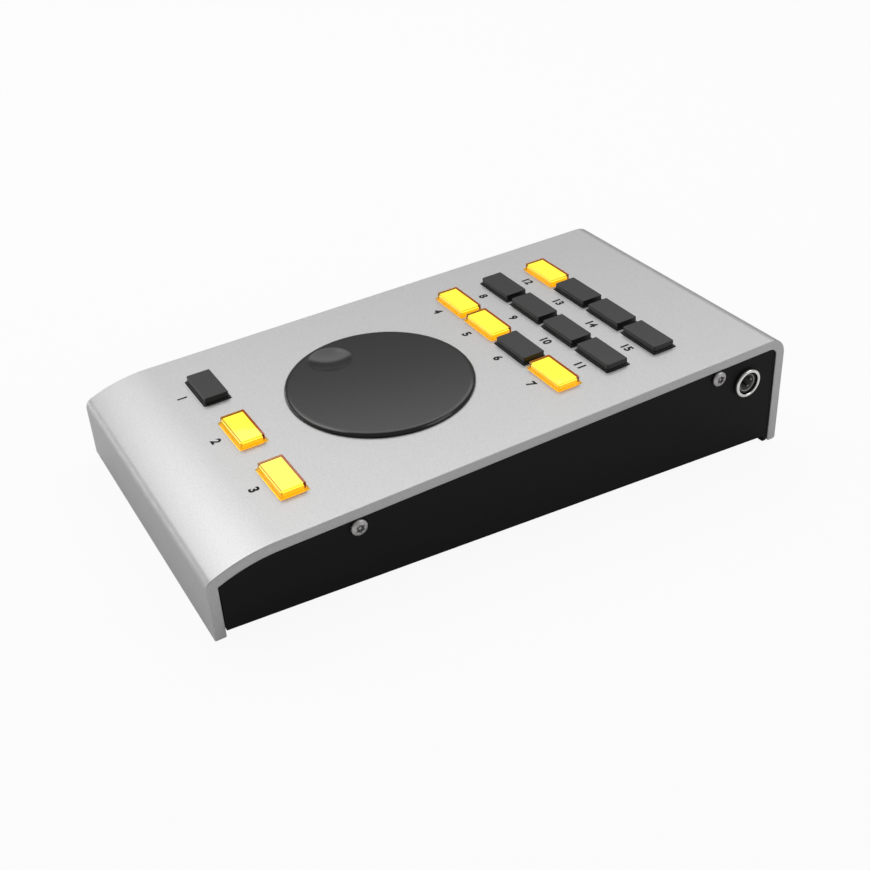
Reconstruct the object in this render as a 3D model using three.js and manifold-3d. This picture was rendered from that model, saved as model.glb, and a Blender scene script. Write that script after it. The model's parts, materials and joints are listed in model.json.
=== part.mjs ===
// Desktop remote control for an audio interface: a wedge-shaped housing with a jog wheel and keys.
// Millimetres, +Z up, +X to the user's right, +Y away from the user. The origin is on the desk, under it.
//
// All but the feet is drawn in the panel's own frame, which then tilts as one group. There y runs up the
// panel from the outer face of the front wall, and z is 0 on the panel's top face.

import * as THREE from 'three';
import { mergeVertices } from 'three/addons/utils/BufferGeometryUtils.js';
import Module from 'manifold-3d';

// Clearances and cuts
const fit = 0.3; // between neighbouring pieces
const overrun = 2; // how far a cut runs past the face that it opens
const arcSteps = 4;
const cornerSteps = 2;
const roundSteps = 32;
const screwSteps = 16;

// Cover: one plate, bent down at the front and at the back
const coverWidth = 106;
const coverDepth = 206; // up the panel, outside the end walls
const coverPlate = 3.5;
const coverSlopeDegrees = 4.5;
const coverBackHeight = 41.2; // from the back wall's foot to the panel's plane
const frontCurveRadius = 50;
const frontCurveLength = 22; // from the front wall's face to where the panel turns flat
const backBendRadius = 6.5;

// Chassis: a folded sheet tray between the end walls
const chassisSheet = 1.5;
const chassisRecess = 0.5; // behind the cut edge of the cover, on each side
const chassisRise = 1.75; // above the feet of the cover's walls
const chassisLip = 1.7; // thickness of its rear lip, which reaches down to the foot of the back wall
const chassisLipRound = 0.8;

// Rubber feet
const footRadius = 7;
const footHeight = 3.2;
const footChamfer = 0.6;
const footSideInset = 16;
const footEndInset = 24;

// Key grid
const keyPitch = 19.05;
const keyColumns = 4;
const keyRows = 3;
const frontKeys = 3;
const frontKeyPitchShare = 1.5;
const frontRow = 34.3; // from the front wall's face to the middle of the front row
const backRowSetback = 38.1; // from the back wall's face to the middle of the last row

// Key cap, with a flange round its foot
const capWidth = 16.4;
const capLength = 8;
const capHeight = 2.4; // above the panel
const capWall = 0.6;
const capTop = 0.8;
const capBevel = 0.4;
const capCornerRadius = 0.5;
const flangeBorder = 0.45;
const flangeHeight = 0.4; // above the panel
const flangeDepth = 0.6; // below the panel's top face
const keyGap = 0.25; // round the flange, in its opening
const keyTravel = 1;

// Light guide, clipped into the cap, with the switch plunger as its stem
const guideFoot = 3.6; // below the panel's top face
const stemWidth = 5;
const stemLength = 3;
const stemFoot = 8.4; // below the panel's top face
const switchWidth = 13;
const switchLength = 6.6;
const switchHeight = 5.4;
const stemReserve = 0.5; // under the stem when the key is down

// Cross rails
const railWidth = 8;
const railHeight = 6.5;
const frontRailPlace = 45.8; // from the front wall's face
const backRailSetback = 28.5; // from the back wall's face

// Screws
const screwRadius = 1.5;
const screwHoleRadius = 1.8;
const screwHeadRadius = 2.6;
const screwHeadHeight = 1.2;
const screwHeadEdge = 0.4; // height of the head's plain rim
const screwReach = 9; // of the side screws, from the head's underside
const screwHoleReserve = 1.5;
const screwDepth = 6.4; // of the side screws' axes below the panel's top face
const boardScrewReach = 5;
const recessRadius = 1.25;
const recessLobe = 0.2;
const recessDepth = 0.8;
const recessLobes = 6;

// Boards
const boardThickness = 1.6;
const keyBoardSideInset = 7; // from the cover's cut edge
const keyBoardReach = 14; // beyond the middle of the first and the last row of keys
const boardScrewInset = 23; // from the cover's cut edge
const ioBoardLeftInset = 15; // from the cover's cut edge
const ioBoardLength = 50.5;
const ioBoardBackGap = 2; // to the back wall
const spacerAcrossFlats = 5.5;
const spacerHeight = 6.8;
const spacerInset = 21; // from the cover's cut edge
const spacerSetback = 46; // from the back wall's face
const headerWidth = 20;
const headerLength = 5;

// Jog wheel
const wheelRadiusShare = 0.644; // of the way from the wheel's axis to the middle of the next row
const wheelTop = 1.4; // above the panel
const wheelLap = 1.8; // of its thin rim beyond its body, which sits in a pocket in the cover
const pocketDepth = 1.5;
const hubRadius = 7;
const hubFoot = 7.4; // below the panel's top face
const hubRoof = 0.7; // where the bore ends, below the panel's top face
const dimpleRadiusShare = 0.233; // of the wheel's radius
const dimplePlaceShare = 0.7; // of the wheel's radius
const dimpleDepth = 1.3;
const dimpleDegrees = 201.3;

// Wheel bearing and retaining clip
const bearingWall = 1.9;
const bearingFlangeBorder = 2.8;
const bearingFlangeThickness = 1.5;
const clipThickness = 0.8;
const clipBorder = 2.4;
const clipGrooveDepth = 0.8;
const clipMouthDegrees = 70;

// Rotary encoder
const shaftRadius = 3;
const shaftFlat = 1.5; // from the axis to the flat
const shaftFoot = 15.5; // below the panel's top face
const shaftTop = 1; // below the panel's top face
const encoderWidth = 16;
const encoderHeight = 7;
const encoderBushRadius = 4.5;
const encoderNutThickness = 1.8;
const encoderNutAcrossFlats = 12;
const encoderBushProud = 0.4; // of its nut

// Jack socket, on the right side
const jackSetback = 16; // from the back wall's face
const jackDepth = 12.4; // of its axis below the panel's top face
const jackBoreRadius = 3.25;
const jackBoreDepth = 25;
const jackBushRadius = 3.9;
const jackNutRadius = 5.1;
const jackNutThickness = 1.2;
const jackNutChamfer = 0.35;
const jackNutLip = 0.4; // thickness of the nut's face, which reaches in over its thread
const jackNutLipRadius = 4;
const jackBodyLength = 24;
const jackBodyWidth = 12.6;
const jackBodyRise = 6; // above the axis
const jackBodyDrop = 6.9; // below the axis

// Cable socket, in the back wall
const socketInset = 28; // from the cover's left cut edge
const socketWidth = 12;
const socketHeight = 10.8;
const socketLength = 16;
const socketSink = 0.8; // behind the back wall's face
const socketMouthWidth = 8.5;
const socketMouthHeight = 7.8;
const socketEndWall = 2;
const tongueWidth = 5.6;
const tongueHeight = 3.2;
const tongueSink = 1.7; // behind the socket's mouth

// Worked out from the sizes above
const slope = THREE.MathUtils.degToRad(coverSlopeDegrees);
const coverFrontHeight = coverBackHeight - coverDepth * Math.tan(slope);
const coverInside = coverDepth - coverPlate;
const chassisSide = coverWidth / 2 - chassisRecess;
const chassisInnerSide = chassisSide - chassisSheet;
const backRow = coverDepth - backRowSetback;
const wheelReach = (backRow - (keyRows - 1) * keyPitch - frontRow) / 2;
const wheelLine = frontRow + wheelReach;
const wheelRadius = wheelReach * wheelRadiusShare;
const wheelBodyRadius = wheelRadius - wheelLap;
const railTop = coverPlate + fit;
const keyBoardTop = railTop + railHeight + fit;
const keyBoardUnder = keyBoardTop + boardThickness;
const ioBoardTop = keyBoardUnder + spacerHeight + 2 * fit;
const ioBoardUnder = ioBoardTop + boardThickness;
const boardScrewPlace = coverWidth / 2 - boardScrewInset;
const jackLine = coverDepth - jackSetback;
const socketPlace = socketInset - coverWidth / 2;
const railLines = { front: frontRailPlace, back: coverDepth - backRailSetback };
const sides = { left: -1, right: 1 };

const finishes = {
  aluminium: { color: '#c3c4c6', roughness: 0.45, metalness: 0.9 },
  powderCoat: { color: '#111112', roughness: 0.6, metalness: 0 },
  steel: { color: '#b9bbbd', roughness: 0.3, metalness: 1 },
  rubber: { color: '#161616', roughness: 0.9, metalness: 0 },
  wheel: { color: '#3a3a3a', roughness: 0.45, metalness: 0 },
  capDark: { color: '#2e2e2f', roughness: 0.35, metalness: 0 },
  capLit: { color: '#f5a511', roughness: 0.3, metalness: 0 },
  guideDark: { color: '#8a8a86', roughness: 0.5, metalness: 0 },
  guideLit: { color: '#ffe92e', roughness: 0.5, metalness: 0 },
  board: { color: '#1f5a34', roughness: 0.5, metalness: 0 },
  plastic: { color: '#1a1a1b', roughness: 0.5, metalness: 0 },
  chrome: { color: '#e6e8ea', roughness: 0.12, metalness: 1 },
  bronze: { color: '#a97c48', roughness: 0.4, metalness: 1 },
};

const wasm = await Module();
wasm.setup();

// A closed geometry as a solid that can be joined and cut.
function solid(geometry) {
  const bare = geometry.clone();
  bare.deleteAttribute('normal');
  bare.deleteAttribute('uv');
  const merged = mergeVertices(bare);
  return new wasm.Manifold(new wasm.Mesh({
    numProp: 3,
    vertProperties: merged.attributes.position.array,
    triVerts: new Uint32Array(merged.index.array),
  }));
}

function geometryOf(body) {
  const { vertProperties, triVerts } = body.getMesh();
  return new THREE.BufferGeometry()
    .setAttribute('position', new THREE.BufferAttribute(vertProperties, 3))
    .setIndex(new THREE.BufferAttribute(triVerts, 1));
}

// The first geometry, joined to some and cut by others.
function made(geometry, { add = [], cut = [] }) {
  const whole = add.reduce((body, other) => body.add(solid(other)), solid(geometry));
  return geometryOf(cut.reduce((body, tool) => body.subtract(solid(tool)), whole));
}

// An outline in x and y, raised between two heights.
function raised(outline, bottom, top, steps = arcSteps) {
  const settings = { depth: top - bottom, bevelEnabled: false, curveSegments: steps };
  return new THREE.ExtrudeGeometry(outline, settings).translate(0, 0, bottom);
}

// An outline in y and z, run across from one x to another.
function across(outline, from, to) {
  const sideways = new THREE.Matrix4().makeBasis(
    new THREE.Vector3(0, 1, 0),
    new THREE.Vector3(0, 0, 1),
    new THREE.Vector3(1, 0, 0),
  );
  const settings = { depth: to - from, bevelEnabled: false, curveSegments: arcSteps };
  return new THREE.ExtrudeGeometry(outline, settings).applyMatrix4(sideways).translate(from, 0, 0);
}

// A box between two opposite corners.
function block(low, high) {
  const size = high.map((value, i) => value - low[i]);
  const middle = high.map((value, i) => (value + low[i]) / 2);
  return new THREE.BoxGeometry(...size).translate(...middle);
}

function flatPoints(pairs) {
  return pairs.map(([a, b]) => new THREE.Vector2(a, b));
}

// A profile of [radius, height] pairs, turned about Z.
function turned(profile, steps = roundSteps) {
  return new THREE.LatheGeometry(flatPoints(profile), steps).rotateX(Math.PI / 2);
}

// A profile of [radius, x] pairs, turned about X.
function turnedAcross(profile, steps = roundSteps) {
  return new THREE.LatheGeometry(flatPoints(profile), steps).rotateZ(-Math.PI / 2);
}

function rod(radius, bottom, top, steps = roundSteps) {
  return turned([[0, bottom], [radius, bottom], [radius, top], [0, top]], steps);
}

function rodAcross(radius, from, to, steps = roundSteps) {
  return turnedAcross([[0, from], [radius, from], [radius, to], [0, to]], steps);
}

function hexagon(acrossFlats, bottom, top) {
  return rod(acrossFlats / Math.sqrt(3), bottom, top, 6);
}

function roundedRectangle(width, length, radius) {
  const [x, y] = [width / 2, length / 2];
  return new THREE.Shape()
    .absarc(x - radius, y - radius, radius, 0, Math.PI / 2)
    .absarc(radius - x, y - radius, radius, Math.PI / 2, Math.PI)
    .absarc(radius - x, radius - y, radius, Math.PI, 1.5 * Math.PI)
    .absarc(x - radius, radius - y, radius, 1.5 * Math.PI, 2 * Math.PI);
}

function rectangle(width, length) {
  const [x, y] = [width / 2, length / 2];
  return new THREE.Shape(flatPoints([[-x, -y], [x, -y], [x, y], [-x, y]]));
}

// The parts: one group that tilts with the panel, and one that stays level
const panel = new THREE.Group();
const level = new THREE.Group();

function place(group, name, geometry, finish, [x, y, z] = [0, 0, 0]) {
  const mesh = new THREE.Mesh(geometry, new THREE.MeshStandardMaterial(finish));
  mesh.name = name;
  mesh.position.set(x, y, z);
  group.add(mesh);
}

// Every key: its number, its place on the panel and whether it is lit.
function keyPlaces() {
  const litKeys = [2, 3, 4, 5, 7, 12];
  const places = [];
  for (let i = 0; i < frontKeys; i += 1) {
    places.push([(i - (frontKeys - 1) / 2) * keyPitch * frontKeyPitchShare, frontRow]);
  }
  for (let row = keyRows - 1; row >= 0; row -= 1) {
    for (let column = 0; column < keyColumns; column += 1) {
      places.push([(column - (keyColumns - 1) / 2) * keyPitch, backRow - row * keyPitch]);
    }
  }
  return places.map(([x, y], i) => ({
    name: `key_${String(i + 1).padStart(2, '0')}`,
    x,
    y,
    lit: litKeys.includes(i + 1),
  }));
}

// Where the front curve, followed a given depth inside, meets the front wall at the same depth.
function frontBend(depth) {
  const radius = frontCurveRadius - depth;
  const angle = Math.acos((depth - frontCurveLength) / radius);
  return { angle, z: radius * Math.sin(angle) - frontCurveRadius };
}

// The cover's side outline, a given depth inside its outer face, from the front foot to the back foot.
function coverRun(inset, frontFoot, backFoot) {
  const { angle, z } = frontBend(Math.max(inset, coverPlate));
  const run = new THREE.Path();
  run.moveTo(inset, frontFoot);
  run.lineTo(inset, z);
  if (inset < coverPlate) {
    run.absarc(coverPlate, z, coverPlate - inset, Math.PI, angle, true);
  }
  run.absarc(frontCurveLength, -frontCurveRadius, frontCurveRadius - inset, angle, Math.PI / 2, true);
  run.absarc(coverDepth - backBendRadius, -backBendRadius, backBendRadius - inset, Math.PI / 2, 0, true);
  run.lineTo(coverDepth - inset, backFoot);
  return run.getPoints(arcSteps);
}

function cover() {
  const outer = coverRun(0, -coverFrontHeight, -coverBackHeight);
  const inner = coverRun(coverPlate, -coverFrontHeight, -coverBackHeight);
  const outline = new THREE.Shape([...outer, ...inner.reverse()]);
  const opening = roundedRectangle(
    capWidth + 2 * (flangeBorder + keyGap),
    capLength + 2 * (flangeBorder + keyGap),
    capCornerRadius,
  );
  const keyOpenings = keyPlaces().map(({ x, y }) => (
    raised(opening, -coverPlate - overrun, overrun, cornerSteps).translate(x, y, 0)
  ));
  const bearingHole = rod(hubRadius + bearingWall + 2 * fit, -coverPlate - overrun, overrun);
  const pocket = rod(wheelBodyRadius + fit, -pocketDepth, overrun, 2 * roundSteps);
  const socketTop = socketHeight + fit - ioBoardTop;
  const socketHole = block(
    [socketPlace - socketWidth / 2 - fit, coverInside - overrun, -ioBoardTop],
    [socketPlace + socketWidth / 2 + fit, coverDepth + overrun, socketTop + fit],
  );
  const plate = made(across(outline, -coverWidth / 2, coverWidth / 2), {
    cut: [
      ...keyOpenings,
      bearingHole.translate(0, wheelLine, 0),
      pocket.translate(0, wheelLine, 0),
      socketHole,
    ],
  });
  place(panel, 'cover', plate, finishes.aluminium);
}

// The chassis's underside in the panel's frame, where the level floor slopes.
function chassisUnder(y) {
  return chassisRise / Math.cos(slope) - coverFrontHeight - y * Math.tan(slope);
}

function chassis() {
  const inset = coverPlate + fit;
  const lipFront = coverDepth - inset - chassisLip;
  const outline = new THREE.Shape([
    ...coverRun(inset, chassisUnder(inset), -coverBackHeight),
    ...flatPoints([
      [lipFront + chassisLipRound, -coverBackHeight],
      [lipFront, chassisLipRound - coverBackHeight],
      [lipFront, chassisUnder(lipFront)],
    ]),
  ]);
  const floorRise = chassisSheet / Math.cos(slope);
  const hollow = new THREE.Shape(flatPoints([
    [-overrun, chassisUnder(-overrun) + floorRise],
    [coverDepth + overrun, chassisUnder(coverDepth + overrun) + floorRise],
    [coverDepth + overrun, overrun],
    [-overrun, overrun],
  ]));
  const screwHoles = Object.values(railLines).map((y) => (
    rodAcross(screwHoleRadius, -chassisSide - overrun, chassisSide + overrun, screwSteps)
      .translate(0, y, -screwDepth)
  ));
  const jackHole = rodAcross(jackBushRadius + fit, chassisInnerSide - overrun, chassisSide + overrun)
    .translate(0, jackLine, -jackDepth);
  const tray = made(across(outline, -chassisSide, chassisSide), {
    cut: [across(hollow, -chassisInnerSide, chassisInnerSide), ...screwHoles, jackHole],
  });
  place(panel, 'chassis', tray, finishes.powderCoat);
}

// A six-lobe recess, cut along X into a head whose top is at x.
function lobedRecess(x) {
  const steps = 4 * recessLobes;
  const points = Array.from({ length: steps }, (_, i) => {
    const angle = (2 * Math.PI * i) / steps;
    const radius = recessRadius + recessLobe * Math.cos(recessLobes * angle);
    return new THREE.Vector2(radius * Math.cos(angle), radius * Math.sin(angle));
  });
  return across(new THREE.Shape(points), x - recessDepth, x + overrun);
}

function sideScrew() {
  const seat = chassisSide + fit;
  const top = seat + screwHeadHeight;
  const outline = [
    [0, seat - screwReach],
    [screwRadius, seat - screwReach],
    [screwRadius, seat],
    [screwHeadRadius, seat],
    [screwHeadRadius, seat + screwHeadEdge],
    [(screwHeadRadius + recessRadius) / 2, top - screwHeadEdge / 2],
    [recessRadius + recessLobe, top],
    [0, top],
  ];
  return made(turnedAcross(outline, screwSteps), { cut: [lobedRecess(top)] });
}

function railsAndScrews() {
  const railEnd = chassisInnerSide - fit;
  const railUnder = railTop + railHeight;
  const screwFoot = keyBoardUnder + fit;
  const sideHole = screwReach + screwHoleReserve - chassisSheet;
  const boardScrew = turned([
    [0, -screwFoot - screwHeadHeight],
    [screwHeadRadius, -screwFoot - screwHeadHeight],
    [screwHeadRadius, -screwFoot],
    [screwRadius, -screwFoot],
    [screwRadius, boardScrewReach - screwFoot],
    [0, boardScrewReach - screwFoot],
  ], screwSteps);
  for (const [end, y] of Object.entries(railLines)) {
    const half = railWidth / 2;
    const bar = block([-railEnd, y - half, -railUnder], [railEnd, y + half, -railTop]);
    const holes = Object.values(sides).flatMap((side) => [
      rodAcross(screwHoleRadius, railEnd - sideHole, railEnd + overrun, screwSteps)
        .rotateZ(side < 0 ? Math.PI : 0)
        .translate(0, y, -screwDepth),
      rod(screwHoleRadius, -railUnder - overrun, boardScrewReach + fit - screwFoot, screwSteps)
        .translate(side * boardScrewPlace, y, 0),
    ]);
    place(panel, `rail_${end}`, made(bar, { cut: holes }), finishes.aluminium);
    for (const [name, side] of Object.entries(sides)) {
      const screw = sideScrew().rotateZ(side < 0 ? Math.PI : 0);
      place(panel, `side_screw_${end}_${name}`, screw, finishes.steel, [0, y, -screwDepth]);
      const under = [side * boardScrewPlace, y, 0];
      place(panel, `board_screw_${end}_${name}`, boardScrew, finishes.steel, under);
    }
  }
}

function keys() {
  const foot = -flangeDepth;
  const outer = roundedRectangle(
    capWidth + 2 * flangeBorder,
    capLength + 2 * flangeBorder,
    capCornerRadius,
  );
  const top = roundedRectangle(
    capWidth - 2 * capBevel,
    capLength - 2 * capBevel,
    capCornerRadius - capBevel,
  );
  const crown = new THREE.ExtrudeGeometry(top, {
    depth: capHeight - 2 * capBevel,
    bevelThickness: capBevel,
    bevelSize: capBevel,
    bevelSegments: 1,
    curveSegments: 1,
  }).translate(0, 0, capBevel);
  const hollowTop = capHeight - capTop;
  const inside = rectangle(capWidth - 2 * capWall, capLength - 2 * capWall);
  const hollow = raised(inside, foot - overrun, hollowTop);
  const cap = made(raised(outer, foot, flangeHeight, cornerSteps), { add: [crown], cut: [hollow] });

  const guideInset = 2 * (capWall + fit);
  const section = rectangle(capWidth - guideInset, capLength - guideInset);
  const guide = made(raised(section, -guideFoot, hollowTop - fit), {
    add: [raised(rectangle(stemWidth, stemLength), -stemFoot, -guideFoot)],
  });
  for (const { name, x, y, lit } of keyPlaces()) {
    place(panel, `${name}_cap`, cap, lit ? finishes.capLit : finishes.capDark, [x, y, 0]);
    place(panel, `${name}_light`, guide, lit ? finishes.guideLit : finishes.guideDark, [x, y, 0]);
  }
}

// The key board and the switches soldered to it, one under each key.
function keyBoard() {
  const halfWidth = coverWidth / 2 - keyBoardSideInset;
  const sheet = block(
    [-halfWidth, frontRow - keyBoardReach, -keyBoardUnder],
    [halfWidth, backRow + keyBoardReach, -keyBoardTop],
  );
  const switchTop = switchHeight - keyBoardTop;
  const wellFoot = -stemFoot - keyTravel - stemReserve;
  const housing = raised(rectangle(switchWidth, switchLength), -keyBoardTop, switchTop);
  const mouth = rectangle(stemWidth + 2 * fit, stemLength + 2 * fit);
  const well = raised(mouth, wellFoot, switchTop + overrun);
  const spots = keyPlaces().map(({ x, y }) => [x, y, 0]);
  const screwHoles = Object.values(railLines).flatMap((y) => Object.values(sides).map((side) => (
    rod(screwHoleRadius, -keyBoardUnder - overrun, -keyBoardTop + overrun, screwSteps)
      .translate(side * boardScrewPlace, y, 0)
  )));
  const encoderHole = rod(encoderBushRadius + fit, -keyBoardUnder - overrun, -keyBoardTop + overrun)
    .translate(0, wheelLine, 0);
  const populated = made(sheet, {
    add: spots.map((spot) => housing.clone().translate(...spot)),
    cut: [...spots.map((spot) => well.clone().translate(...spot)), ...screwHoles, encoderHole],
  });
  place(panel, 'key_board', populated, finishes.board);
}

// The shaft's D section: a round bar with one flat.
function shaftSection(radius, flat, bottom, top) {
  const reach = radius + overrun;
  const side = block([-reach, flat, bottom - overrun], [reach, reach, top + overrun]);
  return made(rod(radius, bottom, top), { cut: [side] });
}

// Where the wheel's bearing ends and its clip sits, as depths below the panel's top face
const bearingUnder = coverPlate + fit + bearingFlangeThickness;
const clipTop = bearingUnder + fit;

function wheel() {
  const under = fit - pocketDepth;
  const rimHeight = wheelTop - fit;
  const rim = Array.from({ length: arcSteps + 1 }, (_, i) => {
    const angle = (i / arcSteps) * (Math.PI / 2);
    return [
      wheelRadius - rimHeight * (1 - Math.cos(angle)),
      fit + rimHeight * Math.sin(angle),
    ];
  });
  const grooveRadius = hubRadius - clipGrooveDepth;
  const disc = turned([
    [0, -hubFoot],
    [hubRadius, -hubFoot],
    [hubRadius, -clipTop - clipThickness - fit],
    [grooveRadius, -clipTop - clipThickness - fit],
    [grooveRadius, -clipTop + fit],
    [hubRadius, -clipTop + fit],
    [hubRadius, under],
    [wheelBodyRadius, under],
    [wheelBodyRadius, fit],
    ...rim,
    [0, wheelTop],
  ], 2 * roundSteps);
  const dimpleRadius = wheelRadius * dimpleRadiusShare;
  const dimplePlace = wheelRadius * dimplePlaceShare;
  const sphere = (dimpleRadius ** 2 + dimpleDepth ** 2) / (2 * dimpleDepth);
  const sweep = Math.asin(dimpleRadius / sphere);
  const bowl = Array.from({ length: arcSteps + 1 }, (_, i) => {
    const angle = (i / arcSteps) * sweep;
    return [sphere * Math.sin(angle), wheelTop - dimpleDepth + sphere * (1 - Math.cos(angle))];
  });
  const dimple = turned([...bowl, [dimpleRadius, wheelTop + overrun], [0, wheelTop + overrun]]);
  const dimpleAngle = THREE.MathUtils.degToRad(dimpleDegrees);
  const bore = shaftSection(shaftRadius + fit, shaftFlat + fit, -hubFoot - overrun, -hubRoof);
  const knob = made(disc, {
    cut: [
      dimple.translate(dimplePlace * Math.cos(dimpleAngle), dimplePlace * Math.sin(dimpleAngle), 0),
      bore,
    ],
  });
  place(panel, 'jog_wheel', knob, finishes.wheel, [0, wheelLine, 0]);
}

function wheelBearingAndClip() {
  const bore = hubRadius + fit;
  const flange = bore + bearingWall + bearingFlangeBorder;
  const bearing = turned([
    [bore, -bearingUnder],
    [flange, -bearingUnder],
    [flange, -coverPlate - fit],
    [bore + bearingWall, -coverPlate - fit],
    [bore + bearingWall, -pocketDepth],
    [bore, -pocketDepth],
    [bore, -bearingUnder],
  ]);
  place(panel, 'wheel_bearing', bearing, finishes.bronze, [0, wheelLine, 0]);

  const clipBore = hubRadius - clipGrooveDepth + fit;
  const half = THREE.MathUtils.degToRad(clipMouthDegrees) / 2;
  const ring = new THREE.Shape()
    .absarc(0, 0, clipBore + clipBorder, half, 2 * Math.PI - half)
    .absarc(0, 0, clipBore, 2 * Math.PI - half, half, true);
  const clip = raised(ring, -clipTop - clipThickness, -clipTop, screwSteps);
  place(panel, 'wheel_clip', clip, finishes.steel, [0, wheelLine, 0]);
}

function encoder() {
  const middle = [0, wheelLine, 0];
  const bodyTop = -keyBoardUnder - fit;
  const nutFoot = -keyBoardTop + fit;
  const bushTop = nutFoot + encoderNutThickness + encoderBushProud;
  const half = encoderWidth / 2;
  const housing = made(block([-half, -half, bodyTop - encoderHeight], [half, half, bodyTop]), {
    add: [rod(encoderBushRadius, bodyTop - encoderHeight / 2, bushTop)],
    cut: [rod(shaftRadius + fit, -shaftFoot - fit, bushTop + overrun)],
  });
  place(panel, 'encoder_body', housing, finishes.steel, middle);

  const nut = made(hexagon(encoderNutAcrossFlats, nutFoot, nutFoot + encoderNutThickness), {
    cut: [rod(encoderBushRadius + fit, nutFoot - overrun, nutFoot + encoderNutThickness + overrun)],
  });
  place(panel, 'encoder_nut', nut, finishes.steel, middle);

  const shaft = made(rod(shaftRadius, -shaftFoot, -hubFoot), {
    add: [shaftSection(shaftRadius, shaftFlat, -hubFoot - fit, -shaftTop)],
  });
  place(panel, 'encoder_shaft', shaft, finishes.steel, middle);
}

function ioBoard() {
  const back = coverInside - ioBoardBackGap;
  const sheet = block(
    [ioBoardLeftInset - coverWidth / 2, back - ioBoardLength, -ioBoardUnder],
    [chassisInnerSide - chassisSheet, back, -ioBoardTop],
  );
  const spacerLine = coverDepth - spacerSetback;
  const header = raised(rectangle(headerWidth, headerLength), -ioBoardTop, -keyBoardUnder - fit)
    .translate(0, spacerLine, 0);
  place(panel, 'connector_board', made(sheet, { add: [header] }), finishes.board);
  const spacer = hexagon(spacerAcrossFlats, fit - ioBoardTop, fit - ioBoardTop + spacerHeight);
  for (const [name, side] of Object.entries(sides)) {
    const spot = [side * (coverWidth / 2 - spacerInset), spacerLine, 0];
    place(panel, `board_spacer_${name}`, spacer, finishes.steel, spot);
  }
}

function jack() {
  const axis = [0, jackLine, -jackDepth];
  const bodyFace = chassisInnerSide - fit;
  const nutFoot = chassisSide + fit;
  const nutTop = nutFoot + jackNutThickness;
  const lipUnder = nutTop - jackNutLip;
  const mouth = lipUnder - fit;
  const halfWidth = jackBodyWidth / 2;
  const body = made(
    block([bodyFace - jackBodyLength, -halfWidth, -jackBodyDrop], [bodyFace, halfWidth, jackBodyRise]),
    {
      add: [rodAcross(jackBushRadius, bodyFace - jackBushRadius, mouth)],
      cut: [rodAcross(jackBoreRadius, mouth - jackBoreDepth, mouth + overrun)],
    },
  );
  place(panel, 'jack_body', body, finishes.plastic, axis);

  const nutBore = jackBushRadius + fit;
  const nut = turnedAcross([
    [nutBore, nutFoot],
    [jackNutRadius, nutFoot],
    [jackNutRadius, nutTop - jackNutChamfer],
    [jackNutRadius - jackNutChamfer, nutTop],
    [jackNutLipRadius, nutTop],
    [jackNutLipRadius, lipUnder],
    [nutBore, lipUnder],
    [nutBore, nutFoot],
  ]);
  place(panel, 'jack_nut', nut, finishes.chrome, axis);
}

function cableSocket() {
  const mouth = coverDepth - socketSink;
  const back = mouth - socketLength;
  const inner = back + socketEndWall;
  const foot = fit - ioBoardTop;
  const middle = foot + socketHeight / 2;
  const [halfWidth, halfMouth] = [socketWidth / 2, socketMouthWidth / 2];
  const [mouthRise, tongueHalf] = [socketMouthHeight / 2, tongueHeight / 2];
  const hollow = block(
    [-halfMouth, inner, middle - mouthRise],
    [halfMouth, mouth + overrun, middle + mouthRise],
  );
  const shell = made(block([-halfWidth, back, foot], [halfWidth, mouth, foot + socketHeight]), {
    cut: [hollow],
  });
  const tongue = block(
    [-tongueWidth / 2, back + socketEndWall / 2, middle - tongueHalf],
    [tongueWidth / 2, mouth - tongueSink, middle + tongueHalf],
  );
  const socket = made(shell, { add: [tongue] });
  place(panel, 'cable_socket', socket, finishes.chrome, [socketPlace, 0, 0]);
}

function feet(lengthOnDesk) {
  const foot = turned([
    [0, 0],
    [footRadius - footChamfer, 0],
    [footRadius, footChamfer],
    [footRadius, footHeight - fit],
    [0, footHeight - fit],
  ]);
  const ends = { front: -1, back: 1 };
  for (const [end, way] of Object.entries(ends)) {
    for (const [name, side] of Object.entries(sides)) {
      const x = side * (coverWidth / 2 - footSideInset);
      const y = way * (lengthOnDesk / 2 - footEndInset);
      place(level, `foot_${end}_${name}`, foot, finishes.rubber, [x, y, 0]);
    }
  }
}

cover();
chassis();
railsAndScrews();
keyBoard();
keys();
wheel();
wheelBearingAndClip();
encoder();
ioBoard();
jack();
cableSocket();

// The panel tilts about its front edge, and the whole part is then centred over the origin on its feet
const frontmost = coverPlate * Math.cos(slope) - frontBend(coverPlate).z * Math.sin(slope) - coverPlate;
const rearmost = coverDepth * Math.cos(slope) + coverBackHeight * Math.sin(slope);
panel.rotation.x = slope;
panel.position.y = -(frontmost + rearmost) / 2;
panel.position.z = footHeight - chassisRise + coverFrontHeight * Math.cos(slope);
feet(rearmost - frontmost);

const remoteControl = new THREE.Group();
remoteControl.add(panel, level);

export default remoteControl;
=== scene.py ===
# %% [markdown]
# # A desktop remote control for an audio interface
#
# The real one is a wedge of bent aluminium plate on a black steel tray. It carries a flat jog wheel and
# fifteen keys, six of them lit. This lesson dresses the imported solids: the pieces that show get softer
# edges, finer curves and real finishes, and everything rides on the body that moves it.
#
# The shapes are drawn in millimetres, in the panel's own frame. There y runs up the panel from the outer
# face of the front wall, and z is 0 on the panel's top face. A matrix puts each shape where the solids are.

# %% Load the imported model
import json
from math import acos, asin, cos, degrees, pi, radians, sin, sqrt, tan

import bmesh
import bpy
from mathutils import Matrix, Vector


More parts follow.
